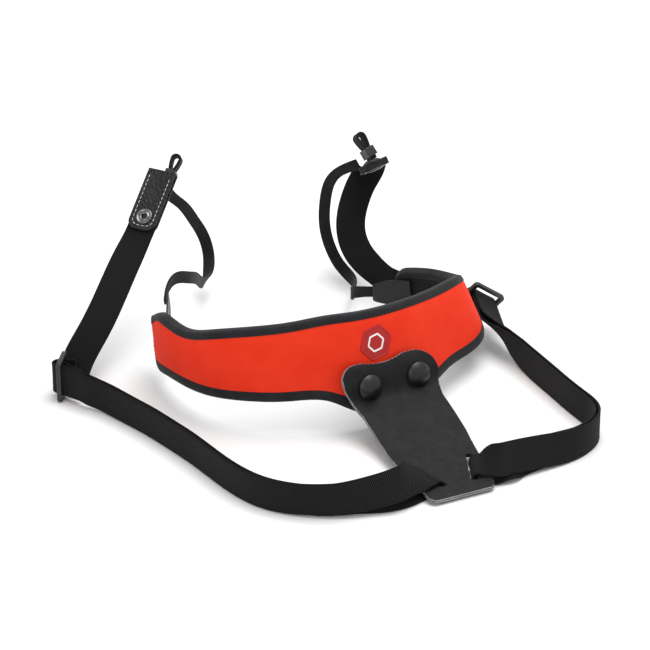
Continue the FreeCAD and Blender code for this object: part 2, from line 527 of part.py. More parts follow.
def tab_set(side, origin, across, upward):
    out = unit(Vector(*across).cross(Vector(*upward)))
    place = frame_placement(origin, across, out)
    back = leaf(0, TAB_L, -LEAF_OUT, -LEAF_IN, 6)
    lip = Part.makeBox(TAB_W, 1.4, 2 * LEAF_OUT, Vector(-TAB_W / 2, TAB_L - 1.4, -LEAF_OUT))
    upper = Part.makeBox(TAB_W, TAB_L - FLAP_L - 0.4, TAB_LEAF,
                         Vector(-TAB_W / 2, FLAP_L + 0.4, LEAF_IN))
    body = back.fuse([lip, upper]).removeSplitter()
    shank = Part.makeCylinder(POST_R + 0.25, 12, Vector(0, RING_Y, -8))
    add_feature(f"{side}_tab_leaf", body.cut(shank), place)
    barrel_hole = Part.makeCylinder(2.5, 8, Vector(0, RING_Y, 0))
    flap = leaf(0, FLAP_L, LEAF_IN, LEAF_OUT, 6)
    add_feature(f"{side}_tab_flap", flap.cut(barrel_hole), place)
    rim = Part.makeCylinder(RING_R, 0.9, Vector(0, RING_Y, LEAF_OUT + EASE))
    barrel = Part.makeCylinder(2.4, TAB_LEAF + 0.4, Vector(0, RING_Y, LEAF_IN))
    bore = Part.makeCylinder(1.6, 12, Vector(0, RING_Y, -2))
    groove = Part.makeTorus(3.9, 0.7, Vector(0, RING_Y, LEAF_OUT + EASE + 1.1), Vector(0, 0, 1))
    add_feature(f"{side}_tab_ring", rim.fuse(barrel).removeSplitter().cut([bore, groove]), place)
    cap = domed_cap(6.5, 2.4, 0.6)
    cap.rotate(Vector(0, 0, 0), Vector(1, 0, 0), 180)
    cap.translate(Vector(0, RING_Y, -LEAF_OUT - EASE))
    post = Part.makeCylinder(POST_R, LEAF_OUT * 2 + 0.8, Vector(0, RING_Y, -LEAF_OUT - 0.4))
    add_feature(f"{side}_tab_stud", cap.fuse(post).removeSplitter(), place)
    clearance = Part.makeCylinder(POST_R + 0.5, 12, Vector(0, RING_Y, -6))
    clearance.Placement = place
    return clearance


stud_clearance = {f"{side}_riser": tab_set(side, *frame) for side, frame in TABS.items()}

for label, (stations, sections) in WEBBING.items():
    frames = ribbon_frames(stations, sections, WEB)
    strap = band_solid(frames, -WEB_T / 2, WEB_T / 2, ruled=True)
    if label in stud_clearance:
        strap = strap.cut(stud_clearance[label])
    add_feature(label, strap)

# ---------------------------------------------------------------- lug straps and keepers
# Local Y runs up the two legs to the loop's centre and local Z is across the strap.
NARROW, NARROW_T = dim("narrow_width"), dim("narrow_thick")
LUG_R = 2.8
LEG_L, LEG_GAP = 16.5, 1.2
KEEPER_Y, KEEPER_L, KEEPER_WALL = -14.5, 6.5, 1.2


def lug_set(side, centre, across, up):
    """A loop round the strap lug, closed by a moulded keeper on its two legs."""
    axis = unit(Vector(*across))
    place = frame_placement(centre, unit(Vector(*up)).cross(axis), axis)
    half = (LEG_GAP + NARROW_T) / 2
    path = ([(half, -LEG_L), (half, -13.0), (half, -8.0), (half + 0.7, -5.2)]
            + arc(0, 0, LUG_R, -15, 195, 8)
            + [(-half - 0.7, -5.2), (-half, -8.0), (-half, -13.0), (-half, -LEG_L)])
    points = spline_points([(x, y, 0) for x, y in path], 44)
    frames = []
    for i, point in enumerate(points):
        along = points[min(i + 1, len(points) - 1)] - points[max(i - 1, 0)]
        frames.append((point, Vector(0, 0, 1), unit(along.cross(Vector(0, 0, 1))), NARROW))
    add_feature(f"{side}_lug_loop", band_solid(frames, -NARROW_T / 2, NARROW_T / 2, ruled=True),
                place)
    inner_x, inner_z = 2 * half + NARROW_T + 0.6, NARROW + 0.6
    outer_x, outer_z = inner_x + 2 * KEEPER_WALL, inner_z + 2 * KEEPER_WALL
    keeper = Part.makeBox(outer_x, KEEPER_L, outer_z, Vector(-outer_x / 2, KEEPER_Y, -outer_z / 2))
    keeper = keeper.makeFillet(1.0, [e for e in keeper.Edges
                                     if abs(e.tangentAt(e.FirstParameter).y) > 0.9])
    passage = Part.makeBox(inner_x, KEEPER_L + 2, inner_z,
                           Vector(-inner_x / 2, KEEPER_Y - 1, -inner_z / 2))
    divider = Part.makeBox(0.6, KEEPER_L, inner_z + 1, Vector(-0.3, KEEPER_Y, -inner_z / 2 - 0.5))
    add_feature(f"{side}_keeper", keeper.cut(passage).fuse(divider).removeSplitter(), place)


lug_set("left", (-96.0, 140.0, 102.0), (-0.10, -0.80, 0.59), (0.36, 0.52, 0.77))
lug_set("right", (25.0, 157.0, 111.0), (0.35, -0.75, 0.56), (-0.50, 0.30, 0.80))

# ---------------------------------------------------------------- pad ends
# A sewn patch runs off each end of the pad's inner face, and a narrow strap leaves it
# for the lug keeper on the same side.
PATCH_T = dim("patch_thick")
PATCH_IN = PAD_T + BIND_T + PATCH_T / 2 + 1.1


def end_patch(side, frames, lift):
    """frames run from inside the pad to its end; the patch overhangs it and climbs by lift."""
    inner, end = frames
    direction = unit(end[0] - inner[0])
    starts = [inner[0] - inner[2] * PATCH_IN, end[0] - end[2] * PATCH_IN]
    starts += [starts[1] + direction * 8 + end[1] * (lift * 0.45),
               starts[1] + direction * 15 + end[1] * lift]
    points = spline_points(starts, 10)
    across = [inner[1] * (1 - k / 9) + end[1] * (k / 9) for k in range(10)]
    frames = []
    for i, point in enumerate(points):
        along = points[min(i + 1, 9)] - points[max(i - 1, 0)]
        width = dim("patch_width") - (0, 0, 0, 0, 0, 0.5, 1.5, 3.0, 5.0, 8.0)[i]
        frames.append((point, unit(across[i]), unit(end[2]), width))
    band = band_solid(frames, -PATCH_T / 2, PATCH_T / 2)
    add_feature(f"{side}_end_patch", band)


end_patch("left", (whole_frames[1], whole_frames[0]), 9.0)
end_patch("right", (whole_frames[-2], whole_frames[-1]), 0.0)

END_STRAPS = {
    "left_end_strap": ([
        ((-100.5, 131.0, 81.0), (0.45, -0.35, 0.82)), ((-93.5, 139.0, 71.0), (0.62, -0.30, 0.72)),
        ((-86.0, 150.0, 55.0), (0.80, -0.20, 0.56)), ((-80.0, 159.0, 39.0), (0.90, 0.0, 0.42)),
        ((-77.0, 160.0, 25.0), (0.95, 0.20, 0.15)), ((-77.0, 149.0, 17.5), (0.85, 0.30, 0.45)),
        ((-78.5, 130.0, 18.5), (0.45, 0.1, 0.90)), ((-80.5, 110.0, 27.5), (0.15, 0.4, 0.90)),
        ((-82.5, 91.0, 38.5), (0.05, 0.4, 0.90)), ((-87.0, 74.0, 46.5), (0.0, 0.2, 0.97)),
        ((-94.0, 60.8, 51.4), (-0.05, -0.05, 1.0)),
        ((-97.9, 51.2, 50.0), (-0.05, -0.40, 0.92)), ((-99.6, 45.2, 45.6), (0.0, -0.60, 0.80)),
        ((-99.9, 42.4, 43.0), (0.0, -0.66, 0.75)),
    ], 40),
    "right_end_strap": ([
        ((39.4, 92.75, 28.1), (-0.15, -0.15, 0.98)),
        ((33.6, 94.35, 27.35), (-0.15, -0.15, 0.98)), ((26.0, 96.5, 26.3), (-0.1, -0.1, 0.98)),
        ((20.5, 103.0, 23.0), (0, 0.2, 1.0)), ((20.0, 115.0, 16.5), (0, 0.35, 0.93)),
        ((21.5, 132.0, 10.0), (0.05, 0.25, 0.97)), ((21.0, 158.0, 7.5), (0.3, 0.3, 0.9)),
        ((11.0, 178.0, 12.0), (0.7, 0.5, 0.5)), ((3.0, 184.0, 30.0), (0.95, 0.3, 0.1)),
        ((2.0, 181.0, 55.0), (0.95, 0.2, -0.1)), ((8.0, 172.0, 78.0), (0.90, 0.1, -0.3)),
        ((19.0, 160.0, 94.0), (0.8, -0.3, -0.5)),
    ], 40),
}
for label, (stations, sections) in END_STRAPS.items():
    frames = ribbon_frames(stations, sections, NARROW)
    add_feature(label, band_solid(frames, -NARROW_T / 2, NARROW_T / 2, ruled=True))

# ---------------------------------------------------------------- write the sub-parts
doc.recompute()
for obj in doc.Objects:
    if "Invalid" in obj.State or "Error" in obj.State:
        raise RuntimeError(f"{obj.Name} failed to recompute: {obj.State}")
os.makedirs("parts", exist_ok=True)
for part in sub_parts:
    if part.Shape.isNull() or not part.Shape.isValid():
        raise RuntimeError(f"{part.Label} has no valid shape")
    part.Shape.exportStep(f"parts/{part.Label}.step")
print("sub-parts written:", len(sub_parts))
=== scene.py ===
import math
import bmesh
import bpy
import numpy as np
from mathutils import Matrix, Vector


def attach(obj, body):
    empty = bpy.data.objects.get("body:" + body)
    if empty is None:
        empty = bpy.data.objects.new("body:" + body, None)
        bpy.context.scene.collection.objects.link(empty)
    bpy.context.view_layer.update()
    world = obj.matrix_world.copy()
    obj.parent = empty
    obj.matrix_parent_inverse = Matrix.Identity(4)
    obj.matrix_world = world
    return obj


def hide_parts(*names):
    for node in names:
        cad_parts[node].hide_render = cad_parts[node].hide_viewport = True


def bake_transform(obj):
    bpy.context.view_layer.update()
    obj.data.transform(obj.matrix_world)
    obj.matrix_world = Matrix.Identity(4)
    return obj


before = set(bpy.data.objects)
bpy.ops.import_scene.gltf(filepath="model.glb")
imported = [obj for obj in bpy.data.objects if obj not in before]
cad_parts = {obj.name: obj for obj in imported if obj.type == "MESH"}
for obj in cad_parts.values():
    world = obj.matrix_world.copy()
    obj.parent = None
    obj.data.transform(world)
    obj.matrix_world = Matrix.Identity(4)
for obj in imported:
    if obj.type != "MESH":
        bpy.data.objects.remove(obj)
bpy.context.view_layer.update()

# ---------------------------------------------------------------- shared numbers
# Routes are in millimetres before the shift that centres the part, as in the CAD.
SHIFT = np.array([-0.2, -18.8, 0.0])
MM = 0.001
UV_SCALE = MM * 10  # texture units per mm along and across a strap
STRAP_STEP = 1.6
WEB, WEB_T = 20.0, 1.5
NARROW, NARROW_T = 8.0, 1.4
PAD_T, BIND_T, BIND_W, BIND_W_TOP = 5.4, 0.8, 6.4, 4.2
UPRIGHT = (0, 0, 1)

PAD_LOWER = [(-104, 29, 21), (-104.6, 21, 15), (-103.5, 12, 12), (-98.5, -1, 13.5),
             (-87.5, -21, 16.5), (-70, -41, 18.4), (-46, -53, 20.4), (-20, -56, 21.6),
             (4, -56, 21.8), (21, -54, 14), (40, -46, 9.5), (58, -32, 11.5), (72, -14, 16),
             (81, 2, 18), (94, 21, 18), (103.6, 43, 19), (101, 66, 20), (86, 86, 20),
             (67, 96, 18), (50, 99, 17)]
PAD_UPPER = [(-106, 30, 41.5), (-107, 22, 42.5), (-104.5, 12, 48), (-101, -1, 53.5),
             (-87.5, -23, 54), (-69, -43, 61), (-45, -51, 66.5), (-20, -52, 70),
             (3, -49, 73.6), (19, -43, 73.4), (35, -33, 72.5), (50, -19, 71), (62, -4, 68.8),
             (71, 9, 66.9), (82, 26, 65.4), (87.7, 45, 60.5), (86.5, 62, 53.5),
             (76, 78, 49.6), (62, 88, 47), (49, 94, 44)]

PLATE_STATIONS = [
    ((39.2, -41.05, 44.2), (0.85, 0.53, 0.0), 34.6),
    ((42.8, -45.6, 31.6), (0.85, 0.53, 0.0), 34.2),
    ((45.0, -47.9, 23.3), (0.86, 0.51, 0.01), 30.7),
    ((49.4, -57.7, 18.8), (0.88, 0.47, 0.04), 27.9),
    ((56.2, -72.9, 14.3), (0.90, 0.43, 0.09), 27.0),
    ((62.9, -89.5, 10.0), (0.91, 0.41, 0.10), 26.5),
    ((69.6, -106.4, 6.6), (0.91, 0.41, 0.04), 25.4),
    ((76.1, -120.5, 4.7), (0.90, 0.435, 0.0), 23.6),
    ((79.5, -131.0, 3.9), (0.89, 0.455, 0.0), 22.6),
    ((82.6, -141.6, 2.8), (0.883, 0.469, 0.0), 22.0),
]

WEBBING = {
    "left_outer_run": ([
        ((-145.4, -23.6, 12.8), UPRIGHT), ((-138.5, -27.8, 11.8), UPRIGHT),
        ((-130.6, -34.3, 10.9), UPRIGHT),
        ((-117.6, -47.5, 10.3), UPRIGHT), ((-105.0, -61.7, 10.3), UPRIGHT),
        ((-92.5, -77.5, 10.3), UPRIGHT), ((-77.0, -98.3, 10.3), UPRIGHT),
        ((-62.0, -121.0, 10.3), UPRIGHT), ((-47.4, -140.6, 10.3), UPRIGHT),
        ((-33.0, -153.6, 10.5), UPRIGHT), ((-19.0, -160.3, 11.0), UPRIGHT),
        ((-5.4, -163.4, 11.8), UPRIGHT), ((8.3, -164.0, 12.4), (0, 0.05, 1)),
        ((22.0, -161.0, 13.2), (0, 0.25, 0.97)), ((36.0, -156.2, 14.6), (0, 0.48, 0.88)),
        ((45.0, -151.6, 15.8), (-0.04, 0.54, 0.84)), ((51.0, -144.0, 15.0), (-0.25, 0.62, 0.74)),
        ((55.2, -136.9, 12.4), (-0.46, 0.70, 0.52)), ((57.9, -132.6, 10.9), (-0.60, 0.71, 0.34)),
    ], 0),
    "left_inner_run": ([
        ((59.9, -129.8, 8.9), (-0.69, 0.72, 0.14)), ((62.4, -127.3, 8.7), (-0.695, 0.719, 0.12)),
        ((64.0, -125.8, 7.2), (-0.695, 0.719, 0.10)), ((64.3, -125.5, 4.8), (-0.695, 0.719, 0.08)),
        ((63.8, -126.0, 2.4), (-0.695, 0.719, 0.03)), ((62.0, -127.6, 0.95), (-0.695, 0.719, 0.0)),
        ((59.2, -130.4, 0.85), (-0.69, 0.72, 0.0)), ((56.0, -133.6, 1.3), (-0.67, 0.74, 0.02)),
        ((50.4, -140.2, 4.4), (-0.50, 0.82, 0.26)),
        ((44.5, -147.3, 7.3), (-0.20, 0.80, 0.58)), ((36.0, -153.2, 9.0), (0, 0.58, 0.81)),
        ((22.0, -157.9, 10.2), (0, 0.20, 0.98)), ((8.3, -161.2, 10.2), UPRIGHT),
        ((-5.4, -161.0, 10.2), UPRIGHT), ((-18.2, -158.1, 10.2), UPRIGHT),
        ((-31.6, -151.8, 10.2), UPRIGHT), ((-45.6, -139.2, 10.2), UPRIGHT),
        ((-60.1, -119.8, 10.2), UPRIGHT), ((-75.1, -97.0, 10.2), UPRIGHT),
        ((-90.7, -76.1, 10.2), UPRIGHT), ((-103.3, -60.2, 10.2), UPRIGHT),
        ((-116.0, -45.9, 10.2), UPRIGHT), ((-128.8, -32.6, 10.9), UPRIGHT),
        ((-142.3, -22.4, 12.4), UPRIGHT),
    ], 0),
    "left_riser": ([
        ((-113.45, 107.75, 79.2), (0.911, -0.409, -0.05)),
        ((-115.5, 103.7, 75.0), (0.911, -0.409, -0.05)),
        ((-117.7, 99.3, 70.4), (0.911, -0.409, -0.05)),
        ((-120.0, 94.9, 66.2), (0.911, -0.409, -0.07)),
        ((-126.2, 79.0, 57.0), (0.94, -0.22, -0.24)), ((-133.4, 56.0, 46.4), (0.93, -0.14, -0.34)),
        ((-139.0, 39.0, 38.0), (0.91, -0.15, -0.38)), ((-145.6, 24.0, 29.0), (0.83, -0.23, -0.50)),
        ((-152.0, 13.6, 20.0), (0.70, -0.34, -0.62)), ((-155.2, 8.0, 12.6), (0.62, -0.40, -0.67)),
        ((-155.8, 6.8, 8.4), (0.60, -0.42, -0.68)),
    ], 0),
    "right_outer_run": ([
        ((96.6, -115.6, 11.5), (-0.05, 0.92, 0.38)), ((99.8, -117.6, 13.4), (-0.02, 0.70, 0.71)),
        ((104.2, -119.2, 14.4), (0, 0.52, 0.85)), ((110.0, -115.8, 13.8), (0, 0.48, 0.88)),
        ((120.0, -109.4, 12.8), (0, 0.46, 0.89)), ((132.0, -102.4, 11.6), (0, 0.40, 0.92)),
        ((142.0, -97.2, 10.8), (0, 0.28, 0.96)), ((152.0, -90.8, 10.4), (0, 0.12, 0.99)),
        ((160.5, -82.0, 10.3), UPRIGHT), ((166.0, -72.0, 10.3), UPRIGHT),
        ((168.2, -61.5, 10.3), UPRIGHT), ((166.4, -50.5, 10.3), UPRIGHT),
        ((160.8, -38.0, 10.3), UPRIGHT), ((152.7, -21.0, 10.3), UPRIGHT),
        ((144.3, -1.5, 10.3), UPRIGHT), ((135.7, 18.0, 10.4), UPRIGHT),
        ((128.6, 34.0, 11.2), (-0.06, -0.03, 1)), ((122.2, 48.6, 13.0), (-0.26, -0.14, 0.95)),
        ((116.2, 61.4, 16.0), (-0.55, -0.28, 0.78)), ((111.0, 72.3, 19.3), (-0.70, -0.35, 0.60)),
    ], 0),
    "right_inner_run": ([
        ((93.2, -114.6, 9.1), (-0.07, 0.99, 0.14)), ((90.6, -114.8, 9.0), (-0.07, 0.9976, 0.12)),
        ((88.7, -114.9, 7.4), (-0.07, 0.9976, 0.10)), ((88.3, -114.9, 4.8), (-0.07, 0.9976, 0.08)),
        ((88.8, -114.9, 2.4), (-0.07, 0.9976, 0.03)), ((90.8, -114.8, 1.1), (-0.07, 0.9976, 0.0)),
        ((95.0, -114.5, 0.9), (-0.05, 0.9976, 0.0)), ((101.0, -114.6, 1.2), (0, 1, 0.02)),
        ((105.6, -114.5, 3.9), (0, 0.96, 0.28)), ((112.0, -111.8, 7.6), (0, 0.72, 0.69)),
        ((120.0, -107.0, 9.3), (0, 0.46, 0.89)),
        ((131.0, -100.4, 9.9), (0, 0.30, 0.95)), ((141.0, -94.6, 10.1), (0, 0.15, 0.99)),
        ((150.4, -88.4, 10.2), UPRIGHT), ((158.3, -80.3, 10.2), UPRIGHT),
        ((163.4, -71.0, 10.2), UPRIGHT), ((165.4, -61.6, 10.2), UPRIGHT),
        ((163.8, -51.4, 10.2), UPRIGHT), ((158.4, -39.2, 10.2), UPRIGHT),
        ((150.4, -22.2, 10.2), UPRIGHT), ((142.0, -2.7, 10.2), UPRIGHT),
        ((133.4, 16.8, 10.3), UPRIGHT), ((126.4, 32.8, 11.0), (-0.06, -0.03, 1)),
        ((119.8, 46.8, 12.4), (-0.26, -0.14, 0.95)), ((113.2, 59.4, 14.4), (-0.55, -0.28, 0.78)),
        ((108.4, 69.8, 16.9), (-0.70, -0.35, 0.60)),
    ], 0),
    "right_riser": ([
        ((97.0, 101.5, 16.6), (-0.50, -0.20, 0.84)), ((90.5, 107.5, 16.4), (-0.34, -0.16, 0.93)),
        ((82.0, 113.0, 16.4), (-0.18, -0.10, 0.98)), ((72.0, 118.0, 16.4), (-0.05, 0, 1)),
        ((60.0, 124.0, 16.6), (0.05, 0, 1)), ((46.0, 133.5, 17.2), (0.15, 0, 0.99)),
        ((36.0, 145.5, 20.0), (0.35, 0.05, 0.93)), ((28.0, 155.0, 24.5), (0.62, 0.10, 0.78)),
        ((22.0, 166.0, 30.5), (0.85, 0.20, 0.42)), ((19.5, 178.0, 38.5), (0.99, 0.10, 0.0)),
        ((20.5, 187.0, 46.5), (0.96, -0.10, -0.20)), ((23.5, 194.0, 55.0), (0.90, -0.15, -0.38)),
        ((28.0, 199.0, 64.0), (0.86, -0.10, -0.50)), ((32.0, 200.6, 70.0), (0.88, 0.05, -0.30)),
        ((34.3, 197.6, 74.4), (0.93, 0.14, 0.20)), ((34.7, 192.3, 77.05), (0.914, 0.155, 0.376)),
        ((34.7, 186.3, 79.55), (0.914, 0.155, 0.376)), ((34.7, 180.3, 82.05), (0.914, 0.155, 0.376)),
    ], 0),
}

# The narrow straps, from the backs of the tabs to the ends of the pad.
END_STRAPS = {
    "left_end_strap": ([
        ((-102.6, 122.9, 91.7), (0.911, -0.409, -0.05)),
        ((-100.5, 131.0, 81.0), (0.45, -0.35, 0.82)), ((-93.5, 139.0, 71.0), (0.62, -0.30, 0.72)),
        ((-86.0, 150.0, 55.0), (0.80, -0.20, 0.56)), ((-80.0, 159.0, 39.0), (0.90, 0.0, 0.42)),
        ((-77.0, 160.0, 25.0), (0.95, 0.20, 0.15)), ((-77.0, 149.0, 17.5), (0.85, 0.30, 0.45)),
        ((-78.5, 130.0, 18.5), (0.45, 0.1, 0.90)), ((-80.5, 110.0, 27.5), (0.15, 0.4, 0.90)),
        ((-82.5, 91.0, 38.5), (0.05, 0.4, 0.90)), ((-87.0, 74.0, 46.5), (0.0, 0.2, 0.97)),
        ((-94.0, 60.8, 51.4), (-0.05, -0.05, 1.0)),
        ((-97.9, 51.2, 50.0), (-0.05, -0.40, 0.92)), ((-99.6, 45.2, 45.6), (0.0, -0.60, 0.80)),
        ((-99.9, 42.4, 43.0), (0.0, -0.66, 0.75)),
    ], 0),
    "right_end_strap": ([
        ((39.4, 92.75, 28.1), (-0.15, -0.15, 0.98)),
        ((33.6, 94.35, 27.35), (-0.15, -0.15, 0.98)), ((26.0, 96.5, 26.3), (-0.1, -0.1, 0.98)),
        ((20.5, 103.0, 23.0), (0, 0.2, 1.0)), ((20.0, 115.0, 16.5), (0, 0.35, 0.93)),
        ((21.5, 132.0, 10.0), (0.05, 0.25, 0.97)), ((21.0, 158.0, 7.5), (0.3, 0.3, 0.9)),
        ((11.0, 178.0, 12.0), (0.7, 0.5, 0.5)), ((3.0, 184.0, 30.0), (0.95, 0.3, 0.1)),
        ((2.0, 181.0, 55.0), (0.95, 0.2, -0.1)), ((8.0, 172.0, 78.0), (0.90, 0.1, -0.3)),
        ((24.3, 160.3, 91.2), (0.8, -0.3, -0.5)),
    ], 0),
}

SLIDERS = {"left": ((-162.2, -5.0, 13.5), (0.99, -0.12, 0.0), UPRIGHT),
           "right": ((103.8, 90.8, 22.9), (0.20, -0.92, -0.34), (0.734, 0.37, -0.569))}
FOLD_TURN = [(-4.9, 2.0), (-5.7, -0.4), (-4.8, -2.8), (-2.0, -4.4), (2.0, -4.9), (8.0, -5.0)]
FOLDS = {"left": [(14, 13.4), (8.5, 10.1), (4, 7.4), (1, 5.6), (-2.5, 3.9)] + FOLD_TURN,
         "right": [(14, 4.1), (8.5, 4.1), (4, 4.1), (1, 4.1), (-2.5, 3.6)] + FOLD_TURN}
def arc(centre_x, centre_z, radius, start, stop, steps):
    turns = [math.radians(start + (stop - start) * k / steps) for k in range(steps + 1)]
    return [(centre_x + radius * math.cos(t), centre_z + radius * math.sin(t)) for t in turns]


LOOPS = {"left": ([(14, 11.05), (9, 8.05), (4, 5.05), (1.2, 3.2)] + arc(0, 0, 2.05, 118, 295, 8)
                  + [(2.9, 0.3), (5.8, 3.2), (9.5, 6.0), (14, 8.9)]),
         "right": ([(14, 2.05), (9, 2.05), (4.5, 2.05)] + arc(0, 0, 2.05, 90, 270, 8)
                   + [(4.5, -2.05), (9, -2.05), (14, -2.05)])}

TABS = {"left": ((-118.4, 98.0, 69.0), (0.911, -0.409, -0.05), (0.33, 0.65, 0.68)),
        "right": ((34.7, 192.3, 77.1), (0.914, 0.155, 0.376), (0.0, -0.92, 0.38))}
TAB_W, TAB_L, TAB_LEAF, LEAF_IN, RING_Y = 20.0, 44.0, 1.3, 1.1, 9.5
FRONT_L, FOLD_L, HINGE_Y, FREE_Y = 42.4, 1.8, 31.0, 24.0
SEAM_X, SEAM_Y0, SEAM_Y1 = 7.3, 2.9, 39.5
LEAF_OUT = LEAF_IN + TAB_LEAF
LUGS = {"left": ((-96.0, 140.0, 102.0), (-0.10, -0.80, 0.59), (0.36, 0.52, 0.77)),
        "right": ((25.0, 157.0, 111.0), (0.35, -0.75, 0.56), (-0.50, 0.30, 0.80))}
LUG_R, LEG_L, LEG_GAP, LUG_WEB_T = 2.8, 16.5, 1.2, 1.9


# ---------------------------------------------------------------- geometry helpers
def unit(v):
    v = np.asarray(v, float)
    return v / np.linalg.norm(v)


def metres(p):
    return (np.asarray(p, float) + SHIFT) * MM


def cubic(points):
    """A smooth curve through the points: returns a function of arc share 0 to 1."""
    p = np.asarray(points, float)
    t = np.concatenate([[0], np.cumsum(np.linalg.norm(np.diff(p, axis=0), axis=1))])
    n, h = len(p), np.diff(t)
    a = np.eye(n)
    rhs = np.zeros_like(p)
    for i in range(1, n - 1):
        a[i, i - 1:i + 2] = h[i - 1], 2 * (h[i - 1] + h[i]), h[i]
        rhs[i] = 6 * ((p[i + 1] - p[i]) / h[i] - (p[i] - p[i - 1]) / h[i - 1])
    m = np.linalg.solve(a, rhs)

    def at(s):
        i = np.clip(np.searchsorted(t, s, side="right") - 1, 0, n - 2)
        u, v, w = t[i + 1] - s, s - t[i], h[i]
        u, v, w = u[:, None], v[:, None], w[:, None]
        return ((m[i] * u ** 3 + m[i + 1] * v ** 3) / (6 * w)
                + (p[i] / w - m[i] * w / 6) * u + (p[i + 1] / w - m[i + 1] * w / 6) * v)

    return at, t


def resample(points, step):
    """Evenly spaced points, and the station parameter that each one sits at."""
    at, t = cubic(points)
    s = np.linspace(0, t[-1], 4000)
    fine = at(s)
    run = np.concatenate([[0], np.cumsum(np.linalg.norm(np.diff(fine, axis=0), axis=1))])
    count = max(6, int(run[-1] / step))
    s_even = np.interp(np.linspace(0, run[-1], count), run, s)
    return at(s_even), s_even, t


def ribbon_frames(stations, step):
    """Centre, across, normal and run length along a strap's stations."""
    points, s_even, t = resample([st[0] for st in stations], step)
    dirs = np.array([unit(st[1]) for st in stations])
    across = np.stack([np.interp(s_even, t, dirs[:, k]) for k in range(3)], axis=1)
    tangent = np.gradient(points, axis=0)
    tangent /= np.linalg.norm(tangent, axis=1)[:, None]
    normal = np.cross(tangent, across)
    normal /= np.linalg.norm(normal, axis=1)[:, None]
    across = np.cross(normal, tangent)
    run = np.concatenate([[0], np.cumsum(np.linalg.norm(np.diff(points, axis=0), axis=1))])
    return points, across, normal, run


def make_object(name, verts, faces, materials, slots=None, uvs=None, smooth=True):
    mesh = bpy.data.meshes.new(name)
    mesh.from_pydata([tuple(v) for v in verts], [], faces)
    for material in materials:
        mesh.materials.append(material)
    if slots is not None:
        mesh.polygons.foreach_set("material_index", slots)
    if uvs is not None:
        layer = mesh.uv_layers.new(name="strap")
        layer.data.foreach_set("uv", np.asarray(uvs, np.float32).ravel())
    mesh.polygons.foreach_set("use_smooth", [smooth] * len(mesh.polygons))
    mesh.validate()
    mesh.update()
    obj = bpy.data.objects.new(name, mesh)
    bpy.context.scene.collection.objects.link(obj)
    return obj


def strap_profile(width, thick, bead=0.0):
    """Rounded cross-section as (across, normal) points, top face first."""
    half, r = width / 2, thick / 2
    flat = half - r
    top = [(v, r - bead * (1 - (v / flat) ** 4)) for v in np.linspace(flat, -flat, 9)]
    left = [(-flat - r * math.sin(a), r * math.cos(a)) for a in np.linspace(0.5, 2.6, 4)]
    bottom = [(-v, -q) for v, q in top]
    right = [(-v, -q) for v, q in left]
    return top + left + bottom + right


def sweep(name, points, across, normal, run, profile, materials, face_slot=None):
    """A closed strap: the profile set across each frame, with flat caps at its ends."""
    n, k = len(points), len(profile)
    verts = []
    for i in range(n):
        for v, q in profile:
            verts.append(metres(points[i] + across[i] * v + normal[i] * q))
    faces, slots, uvs = [], [], []
    for i in range(n - 1):
        for j in range(k):
            j2 = (j + 1) % k
            faces.append((i * k + j, i * k + j2, (i + 1) * k + j2, (i + 1) * k + j))
            slots.append(face_slot(j) if face_slot else 0)
            ring = [(run[i], profile[j][0]), (run[i], profile[j2][0]),
                    (run[i + 1], profile[j2][0]), (run[i + 1], profile[j][0])]
            uvs += [(a * UV_SCALE, b * UV_SCALE) for a, b in ring]
    for i, at_end in ((0, False), (n - 1, True)):
        loop = [i * k + j for j in range(k)]
        faces.append(tuple(loop if at_end else loop[::-1]))
        slots.append(0)
        uvs += [(run[i] * UV_SCALE, 0.0)] * k
    return make_object(name, verts, faces, materials, slots, uvs)


def local_frame(origin, x_axis, z_axis):
    z = unit(z_axis)
    x = np.asarray(x_axis, float)
    x = unit(x - z * np.dot(x, z))
    return np.asarray(origin, float), x, np.cross(z, x), z


def to_world(place, local):
    o, x, y, z = place
    return o + x * local[0] + y * local[1] + z * local[2]


def matrix_of(place):
    o, x, y, z = place
    m = Matrix.Identity(4)
    for r in range(3):
        m[r][0], m[r][1], m[r][2] = x[r], y[r], z[r]
        m[r][3] = (o[r] + SHIFT[r]) * MM
    return m


def lathe(name, rings, place, material):
    """A turned ring: a closed outline of (radius, height) in mm about the place's local Z."""
    verts, faces = [], []
    steps = 64
    for radius, height in rings:
        for k in range(steps):
            a = 2 * math.pi * k / steps
            verts.append((radius * math.cos(a) * MM, radius * math.sin(a) * MM, height * MM))
    for i in range(len(rings) - 1):
        for k in range(steps):
            k2 = (k + 1) % steps
            faces.append((i * steps + k, i * steps + k2, (i + 1) * steps + k2, (i + 1) * steps + k))
    obj = make_object(name, verts, faces, [material])
    obj.data.transform(matrix_of(place))
    obj.data.update()
    return obj


def apply_modifiers(obj):
    graph = bpy.context.evaluated_depsgraph_get()
    mesh = bpy.data.meshes.new_from_object(obj.evaluated_get(graph))
    old = obj.data
    obj.modifiers.clear()
    obj.data = mesh
    bpy.data.meshes.remove(old)


def softened(name, node, material, voxel, rounds):
    """A copy of a CAD node with every edge worn round: fine remesh, then smoothing."""
    obj = bpy.data.objects.new(name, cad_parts[node].data.copy())
    bpy.context.scene.collection.objects.link(obj)
    remesh = obj.modifiers.new("voxels", "REMESH")
    remesh.mode, remesh.voxel_size = "VOXEL", voxel * MM
    smooth = obj.modifiers.new("smooth", "SMOOTH")
    smooth.factor, smooth.iterations = 0.5, rounds
    apply_modifiers(obj)
    obj.data.materials.clear()
    obj.data.materials.append(material)
    obj.data.polygons.foreach_set("use_smooth", [True] * len(obj.data.polygons))
    return obj


def place(obj, body, slot, *nodes):
    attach(obj, body)
    finish_piece(obj, slot, *nodes)


def finish_piece(obj, slot, *nodes):
    if nodes:
        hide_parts(*nodes)


